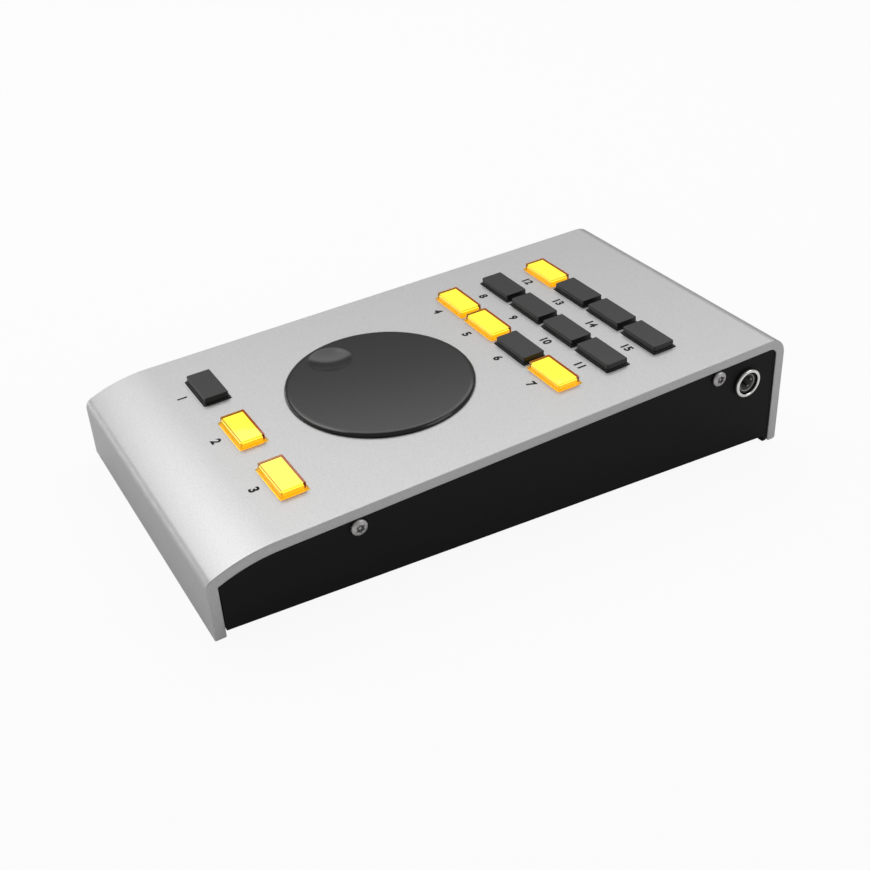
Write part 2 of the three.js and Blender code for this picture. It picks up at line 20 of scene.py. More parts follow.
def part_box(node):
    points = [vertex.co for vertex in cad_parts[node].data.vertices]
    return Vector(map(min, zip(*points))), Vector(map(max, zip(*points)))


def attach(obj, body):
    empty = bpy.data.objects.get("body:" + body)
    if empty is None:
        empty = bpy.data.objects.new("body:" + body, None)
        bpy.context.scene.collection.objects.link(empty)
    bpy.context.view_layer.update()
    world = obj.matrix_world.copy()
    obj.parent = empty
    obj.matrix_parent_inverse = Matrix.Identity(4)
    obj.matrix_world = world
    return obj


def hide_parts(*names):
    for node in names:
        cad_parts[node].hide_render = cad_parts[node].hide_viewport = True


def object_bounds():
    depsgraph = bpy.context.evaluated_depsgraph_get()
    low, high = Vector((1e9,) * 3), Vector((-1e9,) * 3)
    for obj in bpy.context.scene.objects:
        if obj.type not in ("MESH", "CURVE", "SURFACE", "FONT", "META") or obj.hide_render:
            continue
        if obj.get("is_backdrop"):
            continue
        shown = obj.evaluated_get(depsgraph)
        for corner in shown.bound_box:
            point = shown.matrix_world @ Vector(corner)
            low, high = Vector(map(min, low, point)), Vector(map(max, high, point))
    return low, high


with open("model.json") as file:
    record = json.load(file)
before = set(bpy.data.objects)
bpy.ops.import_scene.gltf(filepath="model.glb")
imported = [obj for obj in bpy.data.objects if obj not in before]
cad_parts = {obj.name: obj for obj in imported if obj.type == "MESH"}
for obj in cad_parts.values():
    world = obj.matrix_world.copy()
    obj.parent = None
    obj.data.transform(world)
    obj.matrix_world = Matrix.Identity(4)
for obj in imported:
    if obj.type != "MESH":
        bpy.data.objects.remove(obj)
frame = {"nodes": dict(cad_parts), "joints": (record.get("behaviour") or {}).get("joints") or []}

cad_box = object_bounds()

# %% [markdown]
# ## The panel's frame
#
# The wheel turns about the panel's normal, so its joint says both where the panel is and how far it tilts.
# Reading it there keeps this script and the solids on the same numbers.

# %% The matrix from the panel's frame to the room
MM = 0.001
PITCH = 19.05
ROWS = 3
FRONT_ROW = 34.3
BACK_ROW = 167.9
# The wheel sits halfway between the front keys and the block of keys behind it.
WHEEL_LINE = (FRONT_ROW + BACK_ROW - (ROWS - 1) * PITCH) / 2

wheel_joint = next(joint for joint in frame["joints"] if joint["name"] == "wheel_turn")
wheel_axis = Vector(wheel_joint["axis"])
SLOPE = -asin(wheel_axis.y)
PANEL = (
    Matrix.Translation(wheel_joint["pos_m"])
    @ Matrix.Rotation(SLOPE, 4, "X")
    @ Matrix.Scale(MM, 4)
    @ Matrix.Translation((0, -WHEEL_LINE, 0))
)


def new_object(name, data):
    """An object with its data, linked to the scene."""
    item = bpy.data.objects.new(name, data)
    bpy.context.scene.collection.objects.link(item)
    return item


def mesh_of(name, shape):
    """Turns a shape into a mesh, and frees the shape."""
    mesh = bpy.data.meshes.new(name)
    shape.to_mesh(mesh)
    shape.free()
    return mesh


def on_panel(x, y, z=0):
    """The panel's frame, moved to a spot on the panel."""
    return PANEL @ Matrix.Translation((x, y, z))


print("the panel tilts by", round(degrees(SLOPE), 2), "degrees")

# %% [markdown]
# ## The camera
#
# Its place and angles can be worked out from straight edges and a regular grid of keys. The lens is a short
# tele, and a small shift puts the object where the picture has it without turning the camera.

# %% Camera
CAMERA_SPOT = (294.72, -183.13, 230.28)
CAMERA_TURNS = (61.627, -0.68, 59.664)
camera_data = bpy.data.cameras.new("camera")
camera_data.sensor_width = 36
camera_data.lens = 50.168
camera_data.shift_x = 0.01722
camera_data.shift_y = -0.11154
camera_data.clip_start = 0.01
camera = new_object("camera", camera_data)
camera.location = Vector(CAMERA_SPOT) * MM
camera.rotation_euler = [radians(angle) for angle in CAMERA_TURNS]
bpy.context.scene.camera = camera
print("camera distance:", round(camera.location.length, 3), "m")

# %% [markdown]
# ## Light and floor
#
# Satin metal is photographed under large soft boxes, which leave it no hard spots. The big box hangs over
# the back left and gives the panel its slope of light. The side box fills from the front left, and the edge
# box lights the cut edge and the sockets on the right. The low box is a long strip near the floor, which
# draws the bright line along the front bend.


# %% Helpers for materials
def linear(code):
    """An sRGB hex code as the linear colour that the sockets take."""
    channels = [int(code[i:i + 2], 16) / 255 for i in (1, 3, 5)]
    return (*(c / 12.92 if c <= 0.04045 else ((c + 0.055) / 1.055) ** 2.4 for c in channels), 1)


def add_node(tree, kind, options=None, values=None, links=None, stops=()):
    """Adds a node with its options, its sockets' values and links, and the stops of its colour ramp."""
    node = tree.nodes.new(kind)
    for name, value in (options or {}).items():
        setattr(node, name, value)
    for socket, value in (values or {}).items():
        node.inputs[socket].default_value = value
    for socket, source in (links or {}).items():
        tree.links.new(source, node.inputs[socket])
    for number, (spot, colour) in enumerate(stops):
        ramp = node.color_ramp.elements
        stop = ramp[number] if number < len(ramp) else ramp.new(spot)
        stop.position = spot
        stop.color = linear(colour)
    return node


def new_material(name, colour, **values):
    """A material with one Principled shader, and the uniform values set on the shader's own sockets."""
    material = bpy.data.materials.new(name)
    material.use_nodes = True
    shader = shader_of(material)
    shader.inputs["Base Color"].default_value = linear(colour)
    for socket, value in values.items():
        shader.inputs[socket.replace("_", " ")].default_value = value
    return material


def shader_of(material):
    """The one shader of a new material."""
    return material.node_tree.nodes["Principled BSDF"]


print("white is", [round(c, 2) for c in linear("#ffffff")])


# %% Soft boxes
def aimed(turn, height):
    """The direction at a turn and a height, both in degrees, as a vector of length 1."""
    turn, height = radians(turn), radians(height)
    return Vector((cos(turn) * cos(height), sin(turn) * cos(height), sin(height)))


def soft_box(name, spot, size, power):
    """A rectangular area lamp at a spot, turned towards the object."""
    data = bpy.data.lights.new(name, "AREA")
    data.shape = "RECTANGLE"
    data.size, data.size_y = size
    data.energy = power
    lamp = new_object(name, data)
    lamp.location = spot
    lamp.rotation_euler = (-spot).to_track_quat("-Z", "Y").to_euler()


BOX_DISTANCE = 1.2
# Of each box: its turn and height in degrees, its width and length in metres, and its power in watts.
SOFT_BOXES = {
    "big_box": ((154, 59), (1.8, 0.93), 8),
    "side_box": ((226, 50), (0.8, 0.7), 3.6),
    "low_box": ((216, 4), (1.1, 0.12), 1.4),
    "edge_box": ((40, 35), (0.6, 0.6), 2.2),
}
for name, (direction, size, power) in SOFT_BOXES.items():
    soft_box(name, BOX_DISTANCE * aimed(*direction), size, power)

# %% [markdown]
# The room has two faces. To the camera it is a white backdrop, and to the metal it is grey walls, since
# white ones would wash the panel out. The floor is matt paper that shows the camera mostly plain white, less
# of it in reflections and through clear plastic, and keeps the object's shadow.

# %% The pale room
world = bpy.data.worlds.new("pale_room")
world.use_nodes = True
bpy.context.scene.world = world
room = world.node_tree
seen = add_node(room, "ShaderNodeLightPath")
backdrop = add_node(
    room, "ShaderNodeMix", {"data_type": "RGBA"},
    values={"A": linear("#8e8e8e"), "B": linear("#ffffff")}, links={"Factor": seen.outputs["Is Camera Ray"]},
)
room.links.new(backdrop.outputs["Result"], room.nodes["Background"].inputs["Color"])
print("room: a white backdrop, grey walls")

# %% Floor
FLOOR_HALF = 6
WHITE_TO_CAMERA, WHITE_TO_OBJECT = 0.93, 0.15
floor_shape = bmesh.new()
bmesh.ops.create_grid(floor_shape, x_segments=1, y_segments=1, size=FLOOR_HALF)
floor = new_object("floor", mesh_of("floor", floor_shape))
floor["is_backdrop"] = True

paper = new_material("matt_paper_floor", "#d8d8d8", Roughness=0.9)
sheet = paper.node_tree
white = add_node(sheet, "ShaderNodeEmission", values={"Color": linear("#ffffff"), "Strength": 1})
path = add_node(sheet, "ShaderNodeLightPath")
bounced = add_node(sheet, "ShaderNodeMath", {"operation": "MAXIMUM"}, links={
    0: path.outputs["Is Glossy Ray"],
    1: path.outputs["Is Transmission Ray"],
})
to_object = add_node(sheet, "ShaderNodeMath", {"operation": "MULTIPLY"}, {1: WHITE_TO_OBJECT}, {
    0: bounced.outputs[0],
})
to_camera = add_node(sheet, "ShaderNodeMath", {"operation": "MULTIPLY"}, {1: WHITE_TO_CAMERA}, {
    0: path.outputs["Is Camera Ray"],
})
share = add_node(sheet, "ShaderNodeMath", {"operation": "MAXIMUM"}, links={
    0: to_object.outputs[0],
    1: to_camera.outputs[0],
})
mix = add_node(sheet, "ShaderNodeMixShader", links={
    0: share.outputs[0],
    1: shader_of(paper).outputs[0],
    2: white.outputs[0],
})
sheet.links.new(mix.outputs[0], sheet.nodes["Material Output"].inputs["Surface"])
floor.data.materials.append(paper)
print("floor:", floor.dimensions[:2])

# %% [markdown]
# ## Finishes
#
# Each finish starts from the real material and how its surface was made. A pattern's scale comes from a real
# size in millimetres, read through Object coordinates, so that it stays put when a piece moves.


# %% A fine grain, for blasted metal, powder coat and moulded plastic
GRAIN_DARK, GRAIN_LIGHT = 0.35, 0.65  # where in the noise each of the two colours is full


def grained(name, colour, size, low, high, height, rough=None, **values):
    """A material with a grain of a size in mm that wanders between two colours, stands up by a height in mm,
    and may change the roughness too."""
    material = new_material(name, colour, **values)
    tree = material.node_tree
    shader = shader_of(material)
    place = add_node(tree, "ShaderNodeTexCoord")
    noise = add_node(tree, "ShaderNodeTexNoise", values={"Scale": 1 / (size * MM), "Detail": 2}, links={
        "Vector": place.outputs["Object"],
    })
    stops = ((GRAIN_DARK, low), (GRAIN_LIGHT, high))
    tint = add_node(tree, "ShaderNodeValToRGB", links={0: noise.outputs[0]}, stops=stops)
    tree.links.new(tint.outputs[0], shader.inputs["Base Color"])
    bump = add_node(tree, "ShaderNodeBump", values={"Strength": 1, "Distance": height * MM}, links={
        "Height": noise.outputs[0],
    })
    tree.links.new(bump.outputs[0], shader.inputs["Normal"])
    if rough:
        spread = add_node(tree, "ShaderNodeMapRange", values={3: rough[0], 4: rough[1]}, links={
            0: noise.outputs[0],
        })
        tree.links.new(spread.outputs[0], shader.inputs["Roughness"])
    return material


# Aluminium, bead-blasted and clear anodised: the blasting gives an even satin grey with no direction. Its
# grain is really about 0.1 mm, and is drawn at 0.45 mm because a finer one would blur away.
anodised = grained(
    "anodised_aluminium", "#c5c5c5", Metallic=1,
    size=0.45, low="#c0c0c0", high="#cacaca", height=0.006, rough=(0.44, 0.52),
)
# Polyester powder coat on steel: a deep black with a faint orange peel about half a millimetre across.
powder_coat = grained(
    "powder_coat", "#181818", Specular_IOR_Level=0.12, Roughness=0.55,
    size=0.5, low="#161616", high="#1a1a1a", height=0.01,
)
# Moulded plastic with a soft-touch lacquer: dark grey, with a silky sheen and a barely visible grain.
soft_touch = grained(
    "soft_touch_plastic", "#141414", Roughness=0.2, Specular_IOR_Level=0.58,
    size=0.4, low="#121212", high="#161616", height=0.002,
)
# Smoked polycarbonate over an unlit guide: nearly black, with a fine spark-eroded texture on top.
smoked = grained(
    "smoked_polycarbonate", "#090909", Roughness=0.38, IOR=1.57,
    size=0.3, low="#070707", high="#0b0b0b", height=0.002,
)
print("finishes of the large pieces:", anodised.name, powder_coat.name, soft_touch.name, smoked.name)

# %% Finishes of the metal pieces
# Extruded aluminium, left as it comes from the die: fine lines, here simply a light grain.
mill_aluminium = grained(
    "mill_aluminium", "#b8babc", Metallic=1,
    size=0.6, low="#b0b2b4", high="#bcbec0", height=0.004, rough=(0.3, 0.4),
)
# Zinc-plated steel: a soft silver grey, with a little tooling left in it.
plated_steel = grained(
    "zinc_plated_steel", "#c9c7c6", Metallic=1,
    size=0.35, low="#c4c2c2", high="#cecccb", height=0.0005, rough=(0.42, 0.5),
)
# Bright nickel plate on brass: the mirror finish of a panel nut.
nickel = grained(
    "nickel_plate", "#f2f2f0", Metallic=1,
    size=0.8, low="#f0f0ee", high="#f4f4f2", height=0.001, rough=(0.08, 0.14),
)
# Spring sheet in the jack, tin-plated: a dull grey, rubbed by the plugs.
tinned_sheet = grained(
    "tinned_spring_sheet", "#b4b4b0", Metallic=1,
    size=0.5, low="#acaca8", high="#bcbcb8", height=0.001, rough=(0.6, 0.7),
)
# Oil-filled sintered bronze: brown-gold, dull and slightly porous.
bronze = grained(
    "sintered_bronze", "#a47a48", Metallic=1,
    size=0.3, low="#8f6a3e", high="#ac804c", height=0.01, rough=(0.4, 0.55),
)
print("metals:", mill_aluminium.name, plated_steel.name, nickel.name, tinned_sheet.name, bronze.name)

# %% Finishes of the small pieces
# Moulded nylon, as in jack sockets: black, with a fine texture.
nylon = grained(
    "moulded_nylon", "#141414", Roughness=0.5, Specular_IOR_Level=0.3,
    size=0.3, low="#121212", high="#171717", height=0.004,
)
# Silicone rubber feet: matt black with a dusty bloom.
rubber = grained(
    "silicone_rubber", "#1c1c1c", Roughness=0.85,
    size=0.7, low="#191919", high="#202020", height=0.01,
)
# Glass-fibre board under green solder mask: glossy, with the copper showing through as lighter areas.
solder_mask = grained(
    "solder_mask", "#1c4a2c", Roughness=0.3,
    size=4, low="#17422a", high="#24583a", height=0.01,
)
# Pad-printed ink: flat black that covers the grain of the metal.
ink = grained(
    "printed_ink", "#0c0c0c", Roughness=0.6, Specular_IOR_Level=0.2,
    size=0.2, low="#0a0a0a", high="#0f0f0f", height=0.001,
)
# Milky acrylic light guide, unlit: it scatters the room's light, so it looks like thin milk.
milky_guide = grained(
    "milky_acrylic", "#8c8c88", Roughness=0.5, IOR=1.49,
    size=1.5, low="#888884", high="#90908c", height=0.002,
)
print("small pieces:", nylon.name, rubber.name, solder_mask.name, ink.name, milky_guide.name)

# %% [markdown]
# ## Lit keys
#
# A lit key is a clear amber cap over a milky light guide that glows yellow. A painted-on glow would look the
# same from every side, so the cap is glass-like with a dye in it. The top is seen through little of it and
# stays yellow, the foot and the near walls turn orange, and along the far sides, where the guide's glow
# behind the clear wall is painted dim, it turns brown.

# %% Amber cap and glowing guide
DYE_PER_MM = 1.9
PAINTED_BRIGHT_WAY = (0.4, -0.4, 1)
# How far a face looks that way, and the colour that it glows with there; the dimmer colours are painted
# shade.
GLOW_TINTS = ((0.1, "#7c8c3c"), (0.4, "#aa8a12"), (0.9, "#caff8b"))
# Polycarbonate, dyed amber and polished. The dye is in the plastic itself, so a ray that crosses more of it
# comes out a deeper orange.
amber = new_material("amber_polycarbonate", "#ffffff", Roughness=0.03, IOR=1.49, Transmission_Weight=1)
dye = add_node(amber.node_tree, "ShaderNodeVolumeAbsorption", values={
    "Color": linear("#e2c600"),
    "Density": DYE_PER_MM / MM,
})
amber.node_tree.links.new(dye.outputs[0], amber.node_tree.nodes["Material Output"].inputs["Volume"])
# Milky acrylic over a yellow lamp, so it glows. How brightly each face glows is painted shade, set by the
# way the
# face looks: the top is the brightest, the sides towards the near right corner are dimmer, and the other two
# are the dimmest.
glowing_guide = new_material("glowing_acrylic", "#ffe92e", Roughness=0.5, Emission_Strength=3.5)
glow_tree = glowing_guide.node_tree
face_coords = add_node(glow_tree, "ShaderNodeTexCoord")
facing = add_node(glow_tree, "ShaderNodeVectorMath", {"operation": "DOT_PRODUCT"}, {1: PAINTED_BRIGHT_WAY}, {
    0: face_coords.outputs["Normal"],
})
glow_tint = add_node(glow_tree, "ShaderNodeValToRGB", links={0: facing.outputs["Value"]}, stops=GLOW_TINTS)
glow_tree.links.new(glow_tint.outputs[0], shader_of(glowing_guide).inputs["Emission Color"])
# The same acrylic further down, round the foot of the cap, where only stray light gets out of it.
dim_guide = grained(
    "dim_acrylic", "#ffa818", Roughness=0.5, Emission_Color=linear("#fff04c"), Emission_Strength=1.6,
    size=1.5, low="#f8a014", high="#ffb01c", height=0.002,
)
print("lit key finishes:", amber.name, glowing_guide.name, dim_guide.name)

# %% [markdown]
# ## Making a piece
#
# Every shape below ends the same way. Its place goes into its mesh, its faces are shaded smooth between
# sharp edges, and it rides on a body. Where it is a finer version of a solid, it stands for that solid.


# %% Putting a piece in the scene
SHADE_ANGLE = radians(40)


def add_piece(name, shape, material, place=PANEL, stands_for=(), body="housing"):
    """Puts a shape in the scene as a piece."""
    shape.transform(place)
    mesh = mesh_of(name, shape)
    mesh.materials.append(material)
    mesh.shade_smooth()
    mesh.set_sharp_from_angle(angle=SHADE_ANGLE)
    piece = new_object(name, mesh)
    weighted = piece.modifiers.new("even_shading", "WEIGHTED_NORMAL")
    weighted.keep_sharp = True
    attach(piece, body)
    if stands_for:
        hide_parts(*stands_for)
    return piece


def drill(piece, tool):
    """Cuts a tool, placed as the piece's own shape was, out of a finished piece."""
    cutter = new_object("cutter", mesh_of("cutter", tool))
    cut = piece.modifiers.new("cut", "BOOLEAN")
    cut.operation, cut.solver, cut.object = "DIFFERENCE", "EXACT", cutter
    weighted = piece.modifiers.get("even_shading")
    weighted.show_viewport = False
    result = bpy.data.meshes.new_from_object(piece.evaluated_get(bpy.context.evaluated_depsgraph_get()))
    weighted.show_viewport = True
    piece.modifiers.remove(cut)
    bpy.data.objects.remove(cutter)
    result.name = piece.name
    piece.data = result
    piece.data.shade_smooth()
    piece.data.set_sharp_from_angle(angle=SHADE_ANGLE)


print("faces that meet at less than", round(degrees(SHADE_ANGLE)), "degrees are shaded as one")

# %% Basic shapes and their edges
MERGE = 1e-4
NEAR = 0.01
X, Z = 0, 2
UP = Vector((0, 0, 1))
# How many flat steps a rounding has: a wide one, a usual one, a hair-fine one, and a plain chamfer.
WIDE_STEPS, EDGE_STEPS, HAIR_STEPS, CHAMFER = 4, 3, 2, 1
# In degrees, how far two faces turn from each other at least: where they meet slantwise, and squarely.
SLANTED, SQUARE = 45, 60


def face_out(shape):
    """Turns all faces one way, which is outwards where the shape is closed."""
    bmesh.ops.recalc_face_normals(shape, faces=shape.faces)


def box_shape(low, high):
    """A box between two corners."""
    low, high = Vector(low), Vector(high)
    shape = bmesh.new()
    size = Matrix.Diagonal((*(high - low), 1))
    bmesh.ops.create_cube(shape, size=1, matrix=Matrix.Translation((low + high) / 2) @ size)
    return shape


def rod(radius, length, segments, place):
    """A closed cylinder whose middle and axis are a matrix's origin and Z."""
    shape = bmesh.new()
    bmesh.ops.create_cone(
        shape, cap_ends=True, segments=segments, radius1=radius, radius2=radius, depth=length, matrix=place,
    )
    return shape


def spun(profile, steps):
    """A profile of (radius, height) points, turned about Z."""
    shape = bmesh.new()
    corners = [shape.verts.new((radius, 0, height)) for radius, height in profile]
    edges = [shape.edges.new(pair) for pair in zip(corners, corners[1:])]
    bmesh.ops.spin(
        shape, geom=corners + edges, cent=(0, 0, 0), axis=UP, angle=2 * pi, steps=steps, use_merge=True,
    )
    bmesh.ops.remove_doubles(shape, verts=shape.verts, dist=MERGE)
    face_out(shape)
    return shape


def soften(shape, edges, width, segments=EDGE_STEPS):
    """Rounds some edges of a shape."""
    bmesh.ops.bevel(
        shape, geom=list(edges), offset=width, segments=segments, profile=0.5, affect="EDGES", material=-1,
    )


def sharp_edges(shape, least=30):
    """The edges where two faces meet at more than a number of degrees."""
    return [e for e in shape.edges if e.is_manifold and e.calc_face_angle() > radians(least)]


def reach(edge, axis):
    """How far an edge reaches along an axis."""
    return abs(edge.verts[0].co[axis] - edge.verts[1].co[axis])


def corners_in(items):
    """The corners among the items that an operator gives."""
    return [item for item in items if isinstance(item, bmesh.types.BMVert)]


print("spots within", NEAR, "mm of each other count as level")

# %% [markdown]
# ## The cover
#
# The cover is one plate, 3.5 mm thick, bent in a press: a short front wall, a tight bend, a long soft curve,
# the flat panel, a wider bend and the back wall. So it is drawn as the press makes it. One edge is swept
# along that run to give the outer face, windows are cut in it, and then the sheet gets its thickness.

# %% Sizes of the cover
WIDTH, DEPTH, PLATE = 106, 206, 3.5
HALF = WIDTH / 2
BACK_HEIGHT = 41.2
FRONT_HEIGHT = BACK_HEIGHT - DEPTH * tan(SLOPE)
CURVE_RADIUS, CURVE_LENGTH = 50, 22
BACK_BEND = 6.5
BEND_TURN = pi - acos((PLATE - CURVE_LENGTH) / (CURVE_RADIUS - PLATE))
BEND_STEPS, CURVE_STEPS, BACK_BEND_STEPS = 7, 14, 10
print("front wall:", round(FRONT_HEIGHT, 2), "mm, bent by", round(degrees(BEND_TURN), 1), "degrees")


# %% Sweeping an edge or a point along the run
def moved(shape, start, shift):
    """Pulls a point or an edge straight along, and gives the new end."""
    return bmesh.ops.spin(
        shape, geom=start, cent=(0, 0, 0), axis=(1, 0, 0), dvec=shift, angle=0, steps=1,
    )["geom_last"]


def bent(shape, start, centre, turn, steps):
    """Sweeps a point or an edge round a bend that runs across the width."""
    return bmesh.ops.spin(
        shape, geom=start, cent=(0, *centre), axis=(1, 0, 0), angle=-turn, steps=steps,
    )["geom_last"]


def sweep_run(shape, start, inset, front_foot, back_foot):
    """Sweeps from the foot of the front wall over the panel to the foot of the back wall."""
    inner = max(inset, PLATE)
    bend_top = sqrt((CURVE_RADIUS - inner) ** 2 - (CURVE_LENGTH - inner) ** 2) - CURVE_RADIUS
    curve_turn = acos((inner - CURVE_LENGTH) / (CURVE_RADIUS - inner)) - pi / 2
    end = moved(shape, start, (0, 0, bend_top - front_foot))
    if inset < PLATE:
        end = bent(shape, end, (PLATE, bend_top), BEND_TURN, BEND_STEPS)
    end = bent(shape, end, (CURVE_LENGTH, -CURVE_RADIUS), curve_turn, CURVE_STEPS)
    end = moved(shape, end, (0, DEPTH - BACK_BEND - CURVE_LENGTH, 0))
    end = bent(shape, end, (DEPTH - BACK_BEND, -BACK_BEND), pi / 2, BACK_BEND_STEPS)
    return moved(shape, end, (0, 0, back_foot + BACK_BEND))


cover = bmesh.new()
foot = [cover.verts.new((x, 0, -FRONT_HEIGHT)) for x in (-HALF, HALF)]
foot.append(cover.edges.new(foot))
sweep_run(cover, foot, 0, -FRONT_HEIGHT, -BACK_HEIGHT)
print("outer face:", len(cover.faces), "faces")

# %% [markdown]
# The windows are cut while the cover is still a thin sheet. A plane slices only the faces that it is meant
# to slice, so the rest keeps its few large faces. Then the faces inside the windows are deleted.


# %% Helpers for windows
def slice_faces(shape, faces, point, normal):
    """Cuts some faces along a plane, and keeps both sides."""
    around = set(faces)
    for face in faces:
        around.update(face.edges)
        around.update(face.verts)
    bmesh.ops.bisect_plane(shape, geom=list(around), plane_co=point, plane_no=normal)


def faces_between(shape, low, high):
    """The faces whose middles lie between two corners."""
    inside = []
    for face in shape.faces:
        middle = face.calc_center_median()
        if all(a < m < b for a, m, b in zip(low, middle, high)):
            inside.append(face)
    return inside


def panel_faces(low_x, low_y, high_x, high_y):
    """The cover's flat faces between two corners."""
    return faces_between(cover, (low_x, low_y, -NEAR), (high_x, high_y, NEAR))


def back_faces(low_x, low_z, high_x, high_z):
    """The back wall's faces between two corners."""
    return faces_between(cover, (low_x, DEPTH - NEAR, low_z), (high_x, DEPTH + NEAR, high_z))


FLAT_PART = (-HALF, CURVE_LENGTH, HALF, DEPTH - BACK_BEND)
print("flat faces of the sheet:", len(panel_faces(*FLAT_PART)))

# %% Windows for the keys
CAP_WIDTH, CAP_LENGTH, CAP_HEIGHT = 16.4, 8, 2.4
FLANGE = 0.45
KEY_GAP = 0.25
WINDOW_WIDTH = CAP_WIDTH + 2 * (FLANGE + KEY_GAP)
WINDOW_LENGTH = CAP_LENGTH + 2 * (FLANGE + KEY_GAP)
FRONT_KEYS, COLUMNS = 3, 4
FRONT_PITCH = 1.5 * PITCH

key_spots = [((i - (FRONT_KEYS - 1) / 2) * FRONT_PITCH, FRONT_ROW) for i in range(FRONT_KEYS)]
for row in reversed(range(ROWS)):
    key_spots += [((i - (COLUMNS - 1) / 2) * PITCH, BACK_ROW - row * PITCH) for i in range(COLUMNS)]

for line in sorted({y for _, y in key_spots}):
    near, far = line - WINDOW_LENGTH / 2, line + WINDOW_LENGTH / 2
    for edge in (near, far):
        slice_faces(cover, panel_faces(*FLAT_PART), (0, edge, 0), (0, 1, 0))
    for x in [x for x, y in key_spots if y == line]:
        for edge in (x - WINDOW_WIDTH / 2, x + WINDOW_WIDTH / 2):
            slice_faces(cover, panel_faces(-HALF, near, HALF, far), (edge, 0, 0), (1, 0, 0))
wide, long = WINDOW_WIDTH / 2, WINDOW_LENGTH / 2
for x, y in key_spots:
    bmesh.ops.delete(cover, geom=panel_faces(x - wide, y - long, x + wide, y + long), context="FACES")
print("keys:", len(key_spots), "sheet faces:", len(cover.faces))

# %% The cable socket's window, in the back wall
FIT = 0.3  # between neighbouring pieces
SOCKET_X, SOCKET_WIDTH, SOCKET_HEIGHT, SOCKET_FOOT = -25, 12, 10.8, -19.3
left, right = SOCKET_X - SOCKET_WIDTH / 2 - FIT, SOCKET_X + SOCKET_WIDTH / 2 + FIT
bottom, top = SOCKET_FOOT - FIT, SOCKET_FOOT + SOCKET_HEIGHT + FIT
for height in (bottom, top):
    slice_faces(cover, back_faces(-HALF, -BACK_HEIGHT, HALF, -BACK_BEND), (0, 0, height), UP)
for x in (left, right):
    slice_faces(cover, back_faces(-HALF, bottom, HALF, top), (x, 0, 0), (1, 0, 0))
bmesh.ops.delete(cover, geom=back_faces(left, bottom, right, top), context="FACES")
print("sheet faces:", len(cover.faces))

# %% [markdown]
# Giving the sheet its thickness makes the window walls and the cut edges at both ends. A real plate never
# has a knife edge after blasting, so every outer edge then gets a small rounding: 0.35 mm at the ends, where
# it catches the light as a thin line, more at the foot of the back wall, and less round the windows.

# %% Thickness
# The front bend has no inner radius, so the corners inside it fall together and are merged.
SHEET_MERGE = 0.05
face_out(cover)
panel_face = max(cover.faces, key=lambda face: face.calc_area() * (abs(face.calc_center_median().z) < NEAR))
if panel_face.normal.z < 0:
    bmesh.ops.reverse_faces(cover, faces=cover.faces)
bmesh.ops.solidify(cover, geom=cover.faces[:], thickness=PLATE)
bmesh.ops.remove_doubles(cover, verts=cover.verts, dist=SHEET_MERGE)
face_out(cover)
print("plate faces:", len(cover.faces))

# %% Edges
CORNER_ROUND, FOOT_ROUND, END_ROUND, LIP_EASE = 0.4, 0.9, 0.35, 0.12
SHORT = 1  # a length below this counts as short
WALL_FOOT = 2  # up to this height an edge of the back wall belongs to its foot


def on_rim(edge):
    """Whether an edge lies on one of the cover's two ends or on a foot."""
    ends = all(abs(v.co.x) > HALF - NEAR for v in edge.verts)
    front = all(v.co.z < NEAR - FRONT_HEIGHT and v.co.y < PLATE + NEAR for v in edge.verts)
    back = all(v.co.z < NEAR - BACK_HEIGHT for v in edge.verts)
    return ends or front or back


window_corners = [
    e for e in sharp_edges(cover, SQUARE) if abs(e.calc_length() - PLATE) < NEAR and not on_rim(e)
]
soften(cover, window_corners, CORNER_ROUND)
back_foot = [
    e for e in sharp_edges(cover, SLANTED)
    if all(v.co.z < NEAR - BACK_HEIGHT for v in e.verts) and reach(e, X) > SHORT
]
soften(cover, back_foot, FOOT_ROUND, WIDE_STEPS)
soften(cover, [e for e in sharp_edges(cover, SLANTED) if on_rim(e)], END_ROUND)
lips = [
    e for e in sharp_edges(cover, SQUARE)
    if all(abs(v.co.z) < NEAR and v.co.y > CURVE_LENGTH for v in e.verts)
    or all(v.co.y > DEPTH - NEAR and v.co.z > WALL_FOOT - BACK_HEIGHT for v in e.verts)
]
soften(cover, lips, LIP_EASE, HAIR_STEPS)
print("cover faces:", len(cover.faces), "window edges:", len(lips))
cover_piece = add_piece("cover_plate", cover, anodised, PANEL, ["cover"])

# %% [markdown]
# The wheel's body sits in a shallow round pocket, with the hole for its bearing in the middle. The wheel's
# rim laps over both, so no edge there needs rounding, and one turned tool cuts both.

# %% Pocket and bearing hole
WHEEL_RADIUS, WHEEL_TOP, WHEEL_LAP = 30.75, 1.4, 1.8
WHEEL_BODY = WHEEL_RADIUS - WHEEL_LAP
POCKET_DEPTH = 1.5
BEARING_HOLE = 9.5
POCKET_STEPS = 128
pocket_radius = WHEEL_BODY + FIT
past_plate = 3 * PLATE
pocket = spun([
    (0, -past_plate), (BEARING_HOLE, -past_plate), (BEARING_HOLE, -POCKET_DEPTH),
    (pocket_radius, -POCKET_DEPTH), (pocket_radius, PLATE), (0, PLATE),
], POCKET_STEPS)
at_wheel = on_panel(0, WHEEL_LINE)
pocket.transform(at_wheel)
drill(cover_piece, pocket)
print("cover:", len(cover_piece.data.polygons), "faces")

# %% [markdown]
# ## The tray
#
# The tray is folded from steel sheet: a floor, two upright sides that follow the cover's curve, and a lip at
# the back that reaches out under the back wall. Its side view is swept and closed to one face, that face is
# pulled across the width, and the faces under the cover are taken off before the sheet gets its thickness.

# %% Side view of the tray
SHEET = 1.5
TRAY_RECESS, TRAY_RISE = 0.5, 1.75
TRAY_HALF = HALF - TRAY_RECESS
INSET = PLATE + FIT
LIP, LIP_ROUND, LIP_STEPS = 1.7, 0.8, 5


